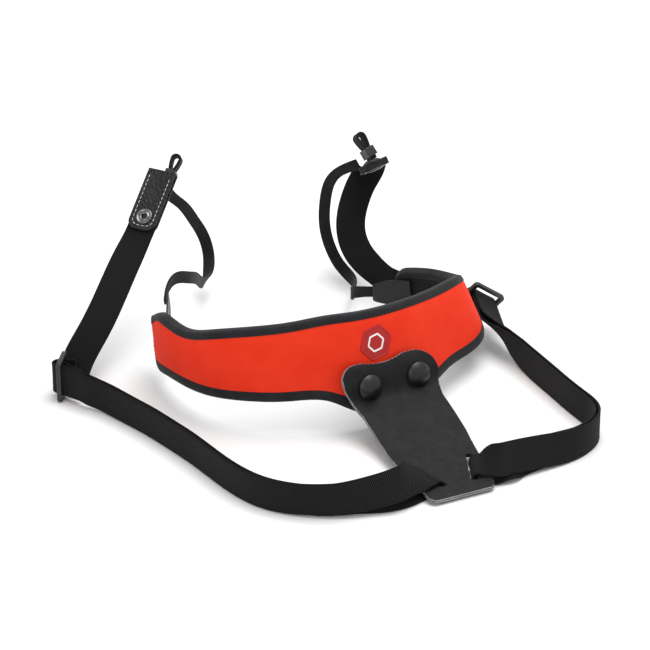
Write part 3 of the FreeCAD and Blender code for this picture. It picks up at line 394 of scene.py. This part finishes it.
# ---------------------------------------------------------------- materials
class Nodes:
    """Short names for wiring a material's nodes."""

    def __init__(self, name, base, rough, spec=0.5):
        self.material = bpy.data.materials.new(name)
        self.material.use_nodes = True
        self.tree = self.material.node_tree
        self.shader = self.tree.nodes["Principled BSDF"]
        self.shader.inputs["Base Color"].default_value = (*base, 1)
        self.shader.inputs["Roughness"].default_value = rough
        self.shader.inputs["Specular IOR Level"].default_value = spec
        self.coords = self.tree.nodes.new("ShaderNodeTexCoord")

    def node(self, kind):
        return self.tree.nodes.new("ShaderNode" + kind)

    def link(self, a, b):
        self.tree.links.new(a, b)

    def noise(self, scale, detail=3.0):
        n = self.node("TexNoise")
        n.inputs["Scale"].default_value = scale
        n.inputs["Detail"].default_value = detail
        n.inputs["Roughness"].default_value = 0.5
        self.link(self.coords.outputs["Object"], n.inputs["Vector"])
        return n.outputs["Fac"]

    def ramp(self, source, low, high, a, b):
        r = self.node("ValToRGB")
        r.color_ramp.elements[0].position, r.color_ramp.elements[1].position = low, high
        r.color_ramp.elements[0].color, r.color_ramp.elements[1].color = (*a, 1), (*b, 1)
        self.link(source, r.inputs["Fac"])
        return r.outputs["Color"]

    def remap(self, source, low, high):
        m = self.node("MapRange")
        m.inputs["To Min"].default_value, m.inputs["To Max"].default_value = low, high
        self.link(source, m.inputs["Value"])
        return m.outputs["Result"]

    def math(self, operation, a, b):
        m = self.node("Math")
        m.operation = operation
        for i, value in enumerate((a, b)):
            if isinstance(value, (int, float)):
                m.inputs[i].default_value = value
            else:
                self.link(value, m.inputs[i])
        return m.outputs[0]

    def bump(self, height, strength, distance):
        b = self.node("Bump")
        b.inputs["Strength"].default_value = strength
        b.inputs["Distance"].default_value = distance
        self.link(height, b.inputs["Height"])
        self.link(b.outputs["Normal"], self.shader.inputs["Normal"])

    def sheen(self, weight, rough):
        self.shader.inputs["Sheen Weight"].default_value = weight
        self.shader.inputs["Sheen Roughness"].default_value = rough
        self.shader.inputs["Sheen Tint"].default_value = (1, 1, 1, 1)


def pad_face_material():
    m = Nodes("orange laminate", (0.80, 0.037, 0.012), 0.75, 0.12)
    cloud = m.noise(60.0, 2.0)
    m.link(m.ramp(cloud, 0.3, 0.7, (0.78, 0.033, 0.010), (0.82, 0.041, 0.014)),
           m.shader.inputs["Base Color"])
    m.link(m.remap(m.noise(900.0, 2.0), 0.68, 0.82), m.shader.inputs["Roughness"])
    knit = m.noise(2600.0, 1.0)
    m.bump(knit, 0.12, 0.0002)
    return m.material


def dark_fabric(name, base, scale, depth, rough=0.85, sheen=0.06, spec=0.12):
    """Plain dark cloth with a fine woven or brushed surface."""
    m = Nodes(name, base, rough, spec)
    light = tuple(min(1, c * 1.5 + 0.004) for c in base)
    cloud = m.noise(scale * 0.08, 3.0)
    m.link(m.ramp(cloud, 0.3, 0.75, base, light), m.shader.inputs["Base Color"])
    weave = m.noise(scale, 2.0)
    m.bump(weave, 0.35, depth)
    m.link(m.remap(weave, rough - 0.08, min(1, rough + 0.1)), m.shader.inputs["Roughness"])
    m.sheen(sheen, 0.45)
    return m.material


def webbing_material(name, ribbed):
    """Elastic webbing: slanted ribs on its outer face, fine flat weave on the inner, coloured with
    painted highlight on the raised yarn and painted shade in the grooves.
    """
    base = (0.006, 0.006, 0.0065)
    m = Nodes(name, base, 0.80, 0.10)
    mapping = m.node("Mapping")
    mapping.inputs["Rotation"].default_value = (0, 0, math.radians(38 if ribbed else 90))
    m.link(m.coords.outputs["UV"], mapping.inputs["Vector"])
    wave = m.node("TexWave")
    wave.wave_type, wave.bands_direction, wave.wave_profile = "BANDS", "X", "SIN"
    wave.inputs["Scale"].default_value = 26.0 if ribbed else 60.0
    wave.inputs["Distortion"].default_value = 0.5
    wave.inputs["Detail"].default_value = 1.0
    wave.inputs["Detail Scale"].default_value = 3.0
    m.link(mapping.outputs["Vector"], wave.inputs["Vector"])
    rib = wave.outputs["Fac"]
    yarn = m.node("TexWave")
    yarn.wave_type, yarn.bands_direction, yarn.wave_profile = "BANDS", "Y", "SIN"
    yarn.inputs["Scale"].default_value = 90.0
    yarn.inputs["Distortion"].default_value = 0.8
    m.link(m.coords.outputs["UV"], yarn.inputs["Vector"])
    height = m.math("ADD", m.math("MULTIPLY", rib, 0.8 if ribbed else 0.25),
                    m.math("MULTIPLY", yarn.outputs["Fac"], 0.2))
    m.bump(height, 0.7 if ribbed else 0.3, 0.00035)
    # Base colour follows the bump height: painted highlight on the rib crests, painted shade in the
    # grooves.
    high = (0.024, 0.0245, 0.0265) if ribbed else (0.014, 0.0143, 0.0155)
    low = (0.0015, 0.0015, 0.0017) if ribbed else (0.006, 0.006, 0.0067)
    m.link(m.ramp(height, 0.25, 0.95, low, high), m.shader.inputs["Base Color"])
    m.sheen(0.03, 0.4)
    return m.material


def leather_material(name, base, rough, grain, depth, wear=0.0, spec=0.45):
    """Grained leather: fine cells, with cloudy lighter patches where it is more worn."""
    m = Nodes(name, base, rough, spec)
    cell = m.node("TexVoronoi")
    cell.feature = "DISTANCE_TO_EDGE"
    cell.inputs["Scale"].default_value = grain
    m.link(m.coords.outputs["Object"], cell.inputs["Vector"])
    fine = m.noise(grain * 1.7, 4.0)
    height = m.math("ADD", m.math("MINIMUM", cell.outputs["Distance"], 0.25),
                    m.math("MULTIPLY", fine, 0.4))
    m.bump(height, 0.5, depth)
    light = tuple(c * (1.7 + wear) + 0.006 for c in base)
    m.link(m.ramp(m.noise(grain * 0.12, 4.0), 0.35, 0.8, base, light),
           m.shader.inputs["Base Color"])
    m.link(m.remap(fine, rough - 0.1, rough + 0.12), m.shader.inputs["Roughness"])
    return m.material


def gloss_material(name, base, rough, metallic=0.0):
    """Enamel, moulded plastic or metal, with slightly uneven gloss."""
    m = Nodes(name, base, rough, 0.5)
    m.shader.inputs["Metallic"].default_value = metallic
    m.link(m.remap(m.noise(420.0, 4.0), max(0.03, rough - 0.03), rough + 0.04),
           m.shader.inputs["Roughness"])
    light = tuple(c * 1.2 + 0.0008 for c in base)
    m.link(m.ramp(m.noise(160.0, 3.0), 0.4, 0.8, base, light), m.shader.inputs["Base Color"])
    m.bump(m.noise(1500.0, 2.0), 0.02, 0.0001)
    return m.material


PAD_FACE = pad_face_material()
PAD_LINING = dark_fabric("pad lining", (0.007, 0.0072, 0.0076), 1800.0, 0.0003)
BINDING = dark_fabric("binding tape", (0.012, 0.0126, 0.0138), 1500.0, 0.00025, 0.8, 0.08, 0.15)
RIBBED = webbing_material("ribbed webbing", True)
SMOOTH = webbing_material("smooth webbing", False)
NARROW_WEB = dark_fabric("narrow webbing", (0.005, 0.005, 0.0056), 2200.0, 0.0003, 0.75, 0.05, 0.2)
PLATE = leather_material("plate leather", (0.010, 0.0104, 0.0112), 0.66, 1300.0, 0.0001, -0.5, 0.17)
PLATE_EDGE = leather_material("cut leather edge", (0.20, 0.20, 0.205), 0.55, 1400.0, 0.0001)
TAB = leather_material("tab leather", (0.003, 0.003, 0.0034), 0.30, 420.0, 0.0016, 0.3, 0.3)
GLOSS = gloss_material("black enamel", (0.004, 0.004, 0.0045), 0.38)
RING = gloss_material("snap ring enamel", (0.16, 0.16, 0.165), 0.22, 1.0)
METAL = gloss_material("blackened steel", (0.10, 0.10, 0.105), 0.35, 1.0)
PLASTIC = gloss_material("moulded plastic", (0.009, 0.0094, 0.010), 0.38)
THREAD_LIGHT = dark_fabric("grey thread", (0.42, 0.42, 0.43), 3000.0, 0.0002, 0.6, 0.2, 0.4)
THREAD_DARK = dark_fabric("black thread", (0.006, 0.006, 0.0065), 3000.0, 0.0002, 0.55, 0.1, 0.3)
BADGE = gloss_material("moulded badge", (0.40, 0.002, 0.002), 0.45)
BADGE_RIM = gloss_material("badge rim", (0.85, 0.80, 0.78), 0.4)


def stitches(name, route, ups, length, gap, radius, material):
    """Short raised thread tufts along a route of points in mm, each lying on its surface."""
    route, ups = np.asarray(route, float), np.asarray(ups, float)
    run = np.concatenate([[0], np.cumsum(np.linalg.norm(np.diff(route, axis=0), axis=1))])
    verts, faces = [], []
    sides = 6
    start = gap / 2
    while start + length < run[-1]:
        ring_points = []
        for share in (0.0, 0.12, 0.5, 0.88, 1.0):
            s = start + length * share
            p = np.array([np.interp(s, run, route[:, k]) for k in range(3)])
            up = unit([np.interp(s, run, ups[:, k]) for k in range(3)])
            ring_points.append((p, up, share))
        axis = unit(ring_points[-1][0] - ring_points[0][0])
        first = len(verts)
        for p, up, share in ring_points:
            side = unit(np.cross(axis, up))
            grow = {0.0: 0.35, 0.12: 0.8, 0.5: 1.0, 0.88: 0.8, 1.0: 0.35}[share]
            lift = radius * (0.75 * math.sin(math.pi * share) - 0.1)
            for k in range(sides):
                a = 2 * math.pi * k / sides
                offset = side * math.cos(a) + up * math.sin(a)
                verts.append(metres(p + up * lift + offset * radius * grow))
        rings = len(ring_points)
        for i in range(rings - 1):
            for k in range(sides):
                k2 = (k + 1) % sides
                a = first + i * sides
                faces.append((a + k, a + k2, a + sides + k2, a + sides + k))
        faces.append(tuple(first + k for k in range(sides))[::-1])
        faces.append(tuple(first + (rings - 1) * sides + k for k in range(sides)))
        start += length + gap
    return make_object(name, verts, faces, [material])


# ---------------------------------------------------------------- pad
def pad_mid():
    """The pad's outer face as centre, across, normal and half width, closely spaced."""
    lower, _, _ = resample(PAD_LOWER, 1.0)
    upper, _, _ = resample(PAD_UPPER, 1.0)
    count = 420
    pick = [np.linspace(0, len(e) - 1, count) for e in (lower, upper)]
    low, high = [np.stack([np.interp(p, np.arange(len(e)), e[:, k]) for k in range(3)], axis=1)
                 for p, e in zip(pick, (lower, upper))]
    centre = (low + high) / 2
    across = high - low
    half = np.linalg.norm(across, axis=1) / 2
    across /= (2 * half)[:, None]
    tangent = np.gradient(centre, axis=0)
    normal = np.cross(tangent, across)
    normal /= np.linalg.norm(normal, axis=1)[:, None]
    run = np.concatenate([[0], np.cumsum(np.linalg.norm(np.diff(centre, axis=0), axis=1))])
    return centre, across, normal, half, run


centre, across, normal, half, run = pad_mid()
CORNER = 7.5


def rounded_half(inset=0.0):
    """Half width at each section, with the pad's corners rounded off."""
    out = half - inset
    for i, s in enumerate(run):
        x = min(s, run[-1] - s) - inset
        if x < CORNER:
            x = max(x, 0.0)
            out[i] -= CORNER - math.sqrt(max(0.0, CORNER ** 2 - (CORNER - x) ** 2))
    return out


def pad_body():
    """Crowned foam band: full in the middle, squeezed thin where the binding holds it."""
    keep = [i for i, s in enumerate(run) if 0.9 <= s <= run[-1] - 0.9]
    widths = rounded_half(0.9)
    shares = np.concatenate([np.linspace(-1, -0.6, 7), np.linspace(-0.5, 0.5, 11),
                             np.linspace(0.6, 1, 7)])
    verts, faces, slots = [], [], []
    for i in keep:
        ends = min(1.0, (min(run[i], run[-1] - run[i])) / 7.0)
        for side in (1, -1):
            for w in shares * side:
                edge = min(1.0, (1 - abs(w)) * half[i] / 7.0)
                puff = math.sin(min(edge, ends) * math.pi / 2)
                q = -0.7 + 1.5 * puff if side == 1 else -PAD_T + 0.7 - 1.1 * puff
                verts.append(metres(centre[i] + across[i] * w * widths[i] + normal[i] * q))
    k = 2 * len(shares)
    for i in range(len(keep) - 1):
        for j in range(k):
            j2 = (j + 1) % k
            faces.append((i * k + j, (i + 1) * k + j, (i + 1) * k + j2, i * k + j2))
            slots.append(0 if j < len(shares) else 1)
    n = len(shares)
    for i, at_end in ((0, False), (len(keep) - 1, True)):
        for j in range(n - 1):
            a, b = i * k + j, i * k + j + 1
            c, d = i * k + k - 2 - j, i * k + k - 1 - j
            faces.append((d, c, b, a) if at_end else (a, b, c, d))
            slots.append(1)
    return make_object("padded_band", verts, faces, [PAD_FACE, PAD_LINING], slots)


def outline():
    """The rim of the pad's outer face, all the way round: points, outward and normal."""
    widths = rounded_half()
    rows = range(len(run))
    low = [(i, -widths[i]) for i in rows]
    right = [(len(run) - 1, w) for w in np.linspace(-widths[-1], widths[-1], 14)[1:-1]]
    high = [(i, widths[i]) for i in reversed(rows)]
    left = [(0, w) for w in np.linspace(widths[0], -widths[0], 14)[1:-1]]
    rim = low + right + high + left
    pts = np.array([centre[i] + across[i] * w for i, w in rim])
    nrm = np.array([normal[i] for i, _ in rim])
    ends = np.array([min(run[i], run[-1] - run[i]) for i, _ in rim])
    top = np.array([w > 0.7 * widths[i] for i, w in rim])
    reach = np.where(top, BIND_W + (BIND_W_TOP - BIND_W) * np.clip(ends / 12.0, 0, 1), BIND_W)
    dense = np.linalg.norm(np.roll(pts, -1, axis=0) - pts, axis=1)
    total = np.concatenate([[0], np.cumsum(dense)])
    closed_p, closed_n = np.vstack([pts, pts[:1]]), np.vstack([nrm, nrm[:1]])
    closed_r = np.append(reach, reach[0])
    s = np.linspace(0, total[-1], 900, endpoint=False)
    pts = np.stack([np.interp(s, total, closed_p[:, k]) for k in range(3)], axis=1)
    nrm = np.stack([np.interp(s, total, closed_n[:, k]) for k in range(3)], axis=1)
    reach = np.interp(s, total, closed_r)
    tangent = np.roll(pts, -1, axis=0) - np.roll(pts, 1, axis=0)
    tangent = (tangent + np.roll(tangent, 1, axis=0) + np.roll(tangent, -1, axis=0)) / 3
    tangent /= np.linalg.norm(tangent, axis=1)[:, None]
    out = np.cross(tangent, nrm)
    out /= np.linalg.norm(out, axis=1)[:, None]
    nrm = np.cross(out, tangent)
    return pts, out, nrm, reach


def binding():
    """A tape folded over the rim: its two edges lie flat on the pad's two faces."""
    pts, out, nrm, reach = outline()
    mid = -PAD_T / 2
    top = BIND_T - 0.05
    outer = [(-1.0, 0, -0.25), (-1.0, 0, top - 0.35), (-1.0, 0.3, top),
             (-0.55, 0, top + 0.12), (-0.2, 0, top - 0.05)]
    turn = [(0.0, 0.75 * math.cos(a), mid + (PAD_T / 2 + 0.4) * math.sin(a))
            for a in np.linspace(1.15, -1.15, 9)]
    inner = [(share, x, 2 * mid - y) for share, x, y in outer[::-1]]
    profile = outer + turn + inner + [(-0.6, 0, -PAD_T + 0.9), (-0.6, 0, -0.9)]
    k, n = len(profile), len(pts)
    verts = [metres(pts[i] + out[i] * (share * reach[i] + x) + nrm[i] * y)
             for i in range(n) for share, x, y in profile]
    faces = [(i * k + j, ((i + 1) % n) * k + j, ((i + 1) % n) * k + (j + 1) % k,
              i * k + (j + 1) % k) for i in range(n) for j in range(k)]
    tape = make_object("edge_binding", verts, faces, [BINDING])
    bm = bmesh.new()
    bm.from_mesh(tape.data)
    bmesh.ops.recalc_face_normals(bm, faces=bm.faces)
    bm.to_mesh(tape.data)
    bm.free()
    seams = []
    for label, y, sign in (("outer", top + 0.02, 1), ("inner", -PAD_T - top - 0.02, -1)):
        route = [pts[i] + out[i] * (1.0 - reach[i]) + nrm[i] * y for i in range(n)]
        seams.append(stitches(f"binding_seam_{label}", route, nrm * sign, 2.2, 0.8, 0.2,
                              THREAD_DARK))
    return tape, seams


pad = pad_body()
place(pad, "harness", "pad_face", "pad_face", "pad_core", "pad_lining")
tape, seams = binding()
place(tape, "harness", "pad_binding", "pad_binding")
for seam in seams:
    place(seam, "harness", "pad_binding")

BADGE_AT, BADGE_R = np.array([32.2, -39.8, 53.4]), 11.7


def badge_piece():
    """A plain six-sided moulded badge with a raised rim, lying on the crowned pad."""
    row = int(np.argmin(np.linalg.norm(centre - BADGE_AT, axis=1)))
    out_dir, up_dir = normal[row], across[row]
    flat = (np.asarray(BADGE_AT), np.cross(up_dir, out_dir), up_dir, out_dir)
    rings = [(1.0, 0.3), (1.0, 1.25), (0.97, 1.42), (0.93, 1.42), (0.91, 1.25), (0.55, 1.25),
             (0.53, 1.4), (0.42, 1.4), (0.40, 1.25), (0.0, 1.25)]
    verts, faces, steps = [], [], 60
    for share, height in rings:
        for k in range(steps):
            a = 2 * math.pi * k / steps
            side = math.cos(math.pi / 6) / math.cos((a % (math.pi / 3)) - math.pi / 6)
            side = min(side, 0.97)
            verts.append(metres(to_world(flat, (BADGE_R * share * side * math.cos(a),
                                                BADGE_R * share * side * math.sin(a), height))))
    for i in range(len(rings) - 1):
        for k in range(steps):
            k2 = (k + 1) % steps
            faces.append((i * steps + k, i * steps + k2, (i + 1) * steps + k2, (i + 1) * steps + k))
    rims = [1 if i == 6 else 0 for i in range(len(rings) - 1) for _ in range(steps)]
    return make_object("badge_moulding", verts, faces, [BADGE, BADGE_RIM], rims, smooth=False)


badge = badge_piece()
place(badge, "harness", "badge", "badge")


# ---------------------------------------------------------------- side straps
def world_path(side, path):
    """A path in a slider's own lengthwise plane, as strap stations."""
    origin, along, up = SLIDERS[side]
    frame_here = local_frame(origin, along, np.cross(along, up))
    return [(tuple(to_world(frame_here, (x, 0, z))), up) for x, z in path]


def flip(stations):
    """The same route with its across directions turned round."""
    return [(p, tuple(-c for c in a)) for p, a in stations]


def side_strap(side):
    """One webbing run: slider fold, outer run, plate slot, inner run, slider loop."""
    run_out, run_in = WEBBING[f"{side}_outer_run"][0], WEBBING[f"{side}_inner_run"][0]
    fold, loop = world_path(side, FOLDS[side]), world_path(side, LOOPS[side])
    if side == "left":
        stations = fold[::-1] + run_out + run_in + loop
    else:
        fold, loop = flip(fold), flip(loop)
        stations = fold[::-1] + run_out[::-1] + run_in + loop
    points, across_, normal_, length = ribbon_frames(stations, STRAP_STEP)
    profile = strap_profile(WEB, WEB_T, 0.12)
    outer_first = side == "left"
    strap = sweep(f"{side}_side_strap", points, across_, normal_, length, profile,
                  [RIBBED, SMOOTH], face_slot=lambda j: 0 if (j < 9) == outer_first else 1)
    origin, along, _ = SLIDERS[side]
    along = unit(along)
    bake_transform(strap)
    finish_piece(strap, "side_webbing", f"{side}_outer_run", f"{side}_inner_run",
                 f"{side}_slider_fold", f"{side}_slider_loop")


def plain_strap(name, stations, width, thick, slot, material, step=STRAP_STEP):
    """A strap that rides on the harness and stands for the CAD node of the same name."""
    points, across_, normal_, length = ribbon_frames(stations, step)
    strap = sweep(name, points, across_, normal_, length, strap_profile(width, thick, 0.1),
                  [material])
    place(strap, "harness", slot, name)


for side in ("left", "right"):
    side_strap(side)
    plain_strap(f"{side}_riser", WEBBING[f"{side}_riser"][0], WEB, WEB_T, "side_webbing",
                SMOOTH)
    plain_strap(f"{side}_end_strap", END_STRAPS[f"{side}_end_strap"][0], NARROW, NARROW_T,
                "narrow_webbing", NARROW_WEB)

# ---------------------------------------------------------------- yoke plate
plate_points = np.array([s[0] for s in PLATE_STATIONS], float)
plate_along = np.gradient(plate_points, axis=0)
plate_across = np.array([unit(s[1]) for s in PLATE_STATIONS])
plate_half = np.array([s[2] for s in PLATE_STATIONS])
FIRST_SLOTTED, RIM_W = 5, 2.0
plate_normals = np.cross(plate_along, plate_across)
plate_normals /= np.linalg.norm(plate_normals, axis=1)[:, None]


def paint_edges(obj):
    """A leather leaf's outer cut edges are paler; the walls of its slots are not."""
    obj.data.materials.append(PLATE_EDGE)
    count = len(obj.data.polygons)
    centres, normals = np.zeros(count * 3), np.zeros(count * 3)
    obj.data.polygons.foreach_get("center", centres)
    obj.data.polygons.foreach_get("normal", normals)
    centres = centres.reshape(-1, 3) / MM - SHIFT
    normals = normals.reshape(-1, 3)
    near = np.argmin(np.linalg.norm(centres[:, None] - plate_points[None], axis=2), axis=1)
    facing = np.abs((normals * plate_normals[near]).sum(axis=1))
    reach = np.abs(((centres - plate_points[near]) * plate_across[near]).sum(axis=1))
    slotted = (near >= FIRST_SLOTTED) & (near < len(plate_points) - 1)
    slot_wall = slotted & (reach < plate_half[near] - RIM_W)
    pale = (facing < 0.62) & ~slot_wall
    obj.data.polygons.foreach_set("material_index", pale.astype(np.int32))


for node, slot_name in (("yoke_plate_front", "plate_front"),
                        ("yoke_plate_backing", "plate_backing")):
    leaf = softened(node + "_leather", node, PLATE, 0.42, 3)
    paint_edges(leaf)
    place(leaf, "yoke_plate", slot_name, node)


for node in ("yoke_socket_left", "yoke_socket_right", "pad_stud_left", "pad_stud_right",
             "pad_washer_left", "pad_washer_right"):
    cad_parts[node].data.materials.clear()
    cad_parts[node].data.materials.append(METAL)
for side in ("left", "right"):
    cap = softened(f"yoke_cap_{side}_dome", f"yoke_cap_{side}", GLOSS, 0.24, 8)
    place(cap, "yoke_plate", "snap_cap", f"yoke_cap_{side}")
    stud = softened(f"{side}_tab_stud_head", f"{side}_tab_stud", GLOSS, 0.2, 4)
    place(stud, "harness", "snap_cap", f"{side}_tab_stud")

# ---------------------------------------------------------------- sliders and keepers
for side in ("left", "right"):
    body = softened(f"{side}_tri_glide", f"{side}_slider_frame", PLASTIC, 0.3, 5)
    place(body, f"{side}_slider", "slider_plastic", f"{side}_slider_frame")
    keeper = softened(f"{side}_keeper_moulding", f"{side}_keeper", PLASTIC, 0.25, 4)
    place(keeper, f"{side}_keeper", "slider_plastic", f"{side}_keeper")


# ---------------------------------------------------------------- snap tabs
def slab(name, outline_xy, low, high, hole, tab_place, material, voxel=0.34, rounds=3):
    """A leather leaf cut to an outline, with one round hole and worn-round edges."""
    bm = bmesh.new()
    ring = [bm.verts.new((x * MM, y * MM, low * MM)) for x, y in outline_xy]
    face = bm.faces.new(ring)
    made = bmesh.ops.extrude_face_region(bm, geom=[face])
    bmesh.ops.translate(bm, verts=[v for v in made["geom"] if isinstance(v, bmesh.types.BMVert)],
                        vec=(0, 0, (high - low) * MM))
    bmesh.ops.recalc_face_normals(bm, faces=bm.faces)
    mesh = bpy.data.meshes.new(name)
    bm.to_mesh(mesh)
    bm.free()
    obj = bpy.data.objects.new(name, mesh)
    bpy.context.scene.collection.objects.link(obj)
    cutter = None
    if hole:
        bpy.ops.mesh.primitive_cylinder_add(vertices=40, radius=hole[2] * MM, depth=0.02,
                                            location=(hole[0] * MM, hole[1] * MM, 0))
        cutter = bpy.context.object
        cut = obj.modifiers.new("hole", "BOOLEAN")
        cut.operation, cut.object, cut.solver = "DIFFERENCE", cutter, "EXACT"
    remesh = obj.modifiers.new("voxels", "REMESH")
    remesh.mode, remesh.voxel_size = "VOXEL", voxel * MM
    smooth = obj.modifiers.new("smooth", "SMOOTH")
    smooth.factor, smooth.iterations = 0.5, rounds
    apply_modifiers(obj)
    if cutter:
        bpy.data.objects.remove(cutter)
    obj.data.transform(matrix_of(tab_place))
    obj.data.materials.clear()
    obj.data.materials.append(material)
    obj.data.polygons.foreach_set("use_smooth", [True] * len(obj.data.polygons))
    return obj


def rounded_outline(half_w, y0, y1, r0, r1):
    """Corners of radius r0 at the y0 end and r1 at the y1 end, counter-clockwise."""
    out = []
    for cx, cy, r, a0 in ((half_w - r0, y0 + r0, r0, -90), (half_w - r1, y1 - r1, r1, 0),
                          (r1 - half_w, y1 - r1, r1, 90), (r0 - half_w, y0 + r0, r0, 180)):
        for k in range(9):
            a = math.radians(a0 + 90 * k / 8)
            out.append((cx + r * math.cos(a), cy + r * math.sin(a)))
    return out


for side in ("left", "right"):
    origin, x_dir, y_dir = TABS[side]
    tab_place = local_frame(origin, x_dir, np.cross(x_dir, y_dir))
    front = slab(f"{side}_tab_front", rounded_outline(TAB_W / 2, 0, FRONT_L, 6.5, 0.8), LEAF_IN,
                 LEAF_OUT, (0, RING_Y, 2.6), tab_place, TAB)
    back = slab(f"{side}_tab_back", rounded_outline(TAB_W / 2, 0, TAB_L - 0.2, 6.5, 0.8),
                -LEAF_OUT, -LEAF_IN, (0, RING_Y, 1.6), tab_place, TAB)
    lip = slab(f"{side}_tab_fold", rounded_outline(TAB_W / 2, TAB_L - FOLD_L, TAB_L, 0.7, 0.85),
               -LEAF_OUT, LEAF_OUT, None, tab_place, TAB, 0.3, 4)
    route, ups, back_route = [], [], []
    seam = rounded_outline(SEAM_X, SEAM_Y0, SEAM_Y1, 4.5, 0.3)
    for x, y in [(-SEAM_X, SEAM_Y1), *seam[27:], *seam[:9], (SEAM_X, SEAM_Y1)]:
        route.append(to_world(tab_place, (x, y, LEAF_OUT + 0.05)))
        back_route.append(to_world(tab_place, (x, y, -LEAF_OUT - 0.05)))
        ups.append(tab_place[3])
    thread = stitches(f"{side}_tab_stitching", route, ups, 2.3, 0.9, 0.26, THREAD_LIGHT)
    for piece in (front, thread):
        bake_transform(piece)
    finish_piece(front, "tab_leather", f"{side}_tab_flap")
    finish_piece(thread, "tab_leather")
    place(back, "harness", "tab_leather", f"{side}_tab_leaf")
    place(lip, "harness", "tab_leather")
    back_thread = stitches(f"{side}_tab_back_stitching", back_route, [-u for u in ups], 2.3, 0.9,
                           0.26, THREAD_LIGHT)
    place(back_thread, "harness", "tab_leather")
    ring_rings = [(1.6, 1.2), (2.4, 1.2), (2.4, 2.5), (5.0, 2.5), (5.4, 2.6), (5.5, 2.85),
                  (5.35, 3.15), (4.9, 3.35), (4.4, 3.3), (4.0, 2.95), (3.7, 2.85), (3.4, 2.95),
                  (3.0, 3.35), (2.5, 3.45), (2.0, 3.3), (1.7, 3.0), (1.6, 2.6), (1.6, 1.2)]
    shifted = (to_world(tab_place, (0, RING_Y, 0)), *tab_place[1:])
    ring = lathe(f"{side}_tab_eyelet", ring_rings, shifted, RING)
    place(ring, f"{side}_flap", "snap_ring", f"{side}_tab_ring")


# ---------------------------------------------------------------- lug loops and patches
for side in ("left", "right"):
    centre_, width_dir, up_dir = LUGS[side]
    axis = unit(width_dir)
    lug_place = local_frame(centre_, np.cross(unit(up_dir), axis), axis)
    gap = (LEG_GAP + NARROW_T) / 2
    turn = [(LUG_R * math.cos(a), LUG_R * math.sin(a))
            for a in np.radians(np.linspace(-15, 195, 9))]
    path = ([(gap, -LEG_L), (gap, -13.0), (gap, -8.0), (gap + 0.7, -5.2)] + turn
            + [(-gap - 0.7, -5.2), (-gap, -8.0), (-gap, -13.0), (-gap, -LEG_L)])
    stations = [(tuple(to_world(lug_place, (x, y, 0))), tuple(axis)) for x, y in path]
    plain_strap(f"{side}_lug_loop", stations, NARROW, LUG_WEB_T, "narrow_webbing",
                NARROW_WEB, step=0.8)
    patch = softened(f"{side}_end_patch_sewn", f"{side}_end_patch", TAB, 0.3, 3)
    place(patch, "harness", "patch", f"{side}_end_patch")

# ---------------------------------------------------------------- floor, light and camera
floor_material = Nodes("pale floor", (0.86, 0.86, 0.86), 0.9, 0.1)
floor_material.link(floor_material.ramp(floor_material.noise(3.0), 0.3, 0.7,
                                        (0.855, 0.855, 0.857), (0.87, 0.87, 0.87)),
                    floor_material.shader.inputs["Base Color"])
bpy.ops.mesh.primitive_plane_add(size=8.0, location=(0, 1.5, 0))
floor = bpy.context.object
floor.name = "floor"
floor.data.materials.append(floor_material.material)

world = bpy.data.worlds.new("studio")
bpy.context.scene.world = world
world.use_nodes = True
world.node_tree.nodes["Background"].inputs["Color"].default_value = (1, 1, 1, 1)
world.node_tree.nodes["Background"].inputs["Strength"].default_value = 0.80


def area_light(name, location, target, size, watts):
    data = bpy.data.lights.new(name, "AREA")
    data.shape, data.size, data.size_y, data.energy = "RECTANGLE", size[0], size[1], watts
    light = bpy.data.objects.new(name, data)
    bpy.context.scene.collection.objects.link(light)
    light.location = location
    aim = Vector(target) - Vector(location)
    light.rotation_euler = aim.to_track_quat("-Z", "Y").to_euler()


area_light("top_softbox", (0.25, 0.1, 1.3), (0, 0, 0), (1.1, 0.9), 14.0)
area_light("front_fill", (-0.7, -1.3, 0.9), (0, 0, 0.03), (0.9, 0.6), 4.0)

bpy.context.scene.view_settings.view_transform = "Standard"

TILT = math.radians(24.7)
SENSOR = 36.0
FOCAL_LENGTH = 2700.0 / 650.0 * SENSOR
camera_data = bpy.data.cameras.new("camera")
camera_data.sensor_width = SENSOR
camera_data.lens = FOCAL_LENGTH
camera_data.clip_start, camera_data.clip_end = 0.05, 30.0
camera = bpy.data.objects.new("camera", camera_data)
bpy.context.scene.collection.objects.link(camera)
camera.location = metres((2.0, -1525.0, 748.0))
camera.rotation_euler = (math.pi / 2 - TILT, 0, 0)
bpy.context.scene.camera = camera
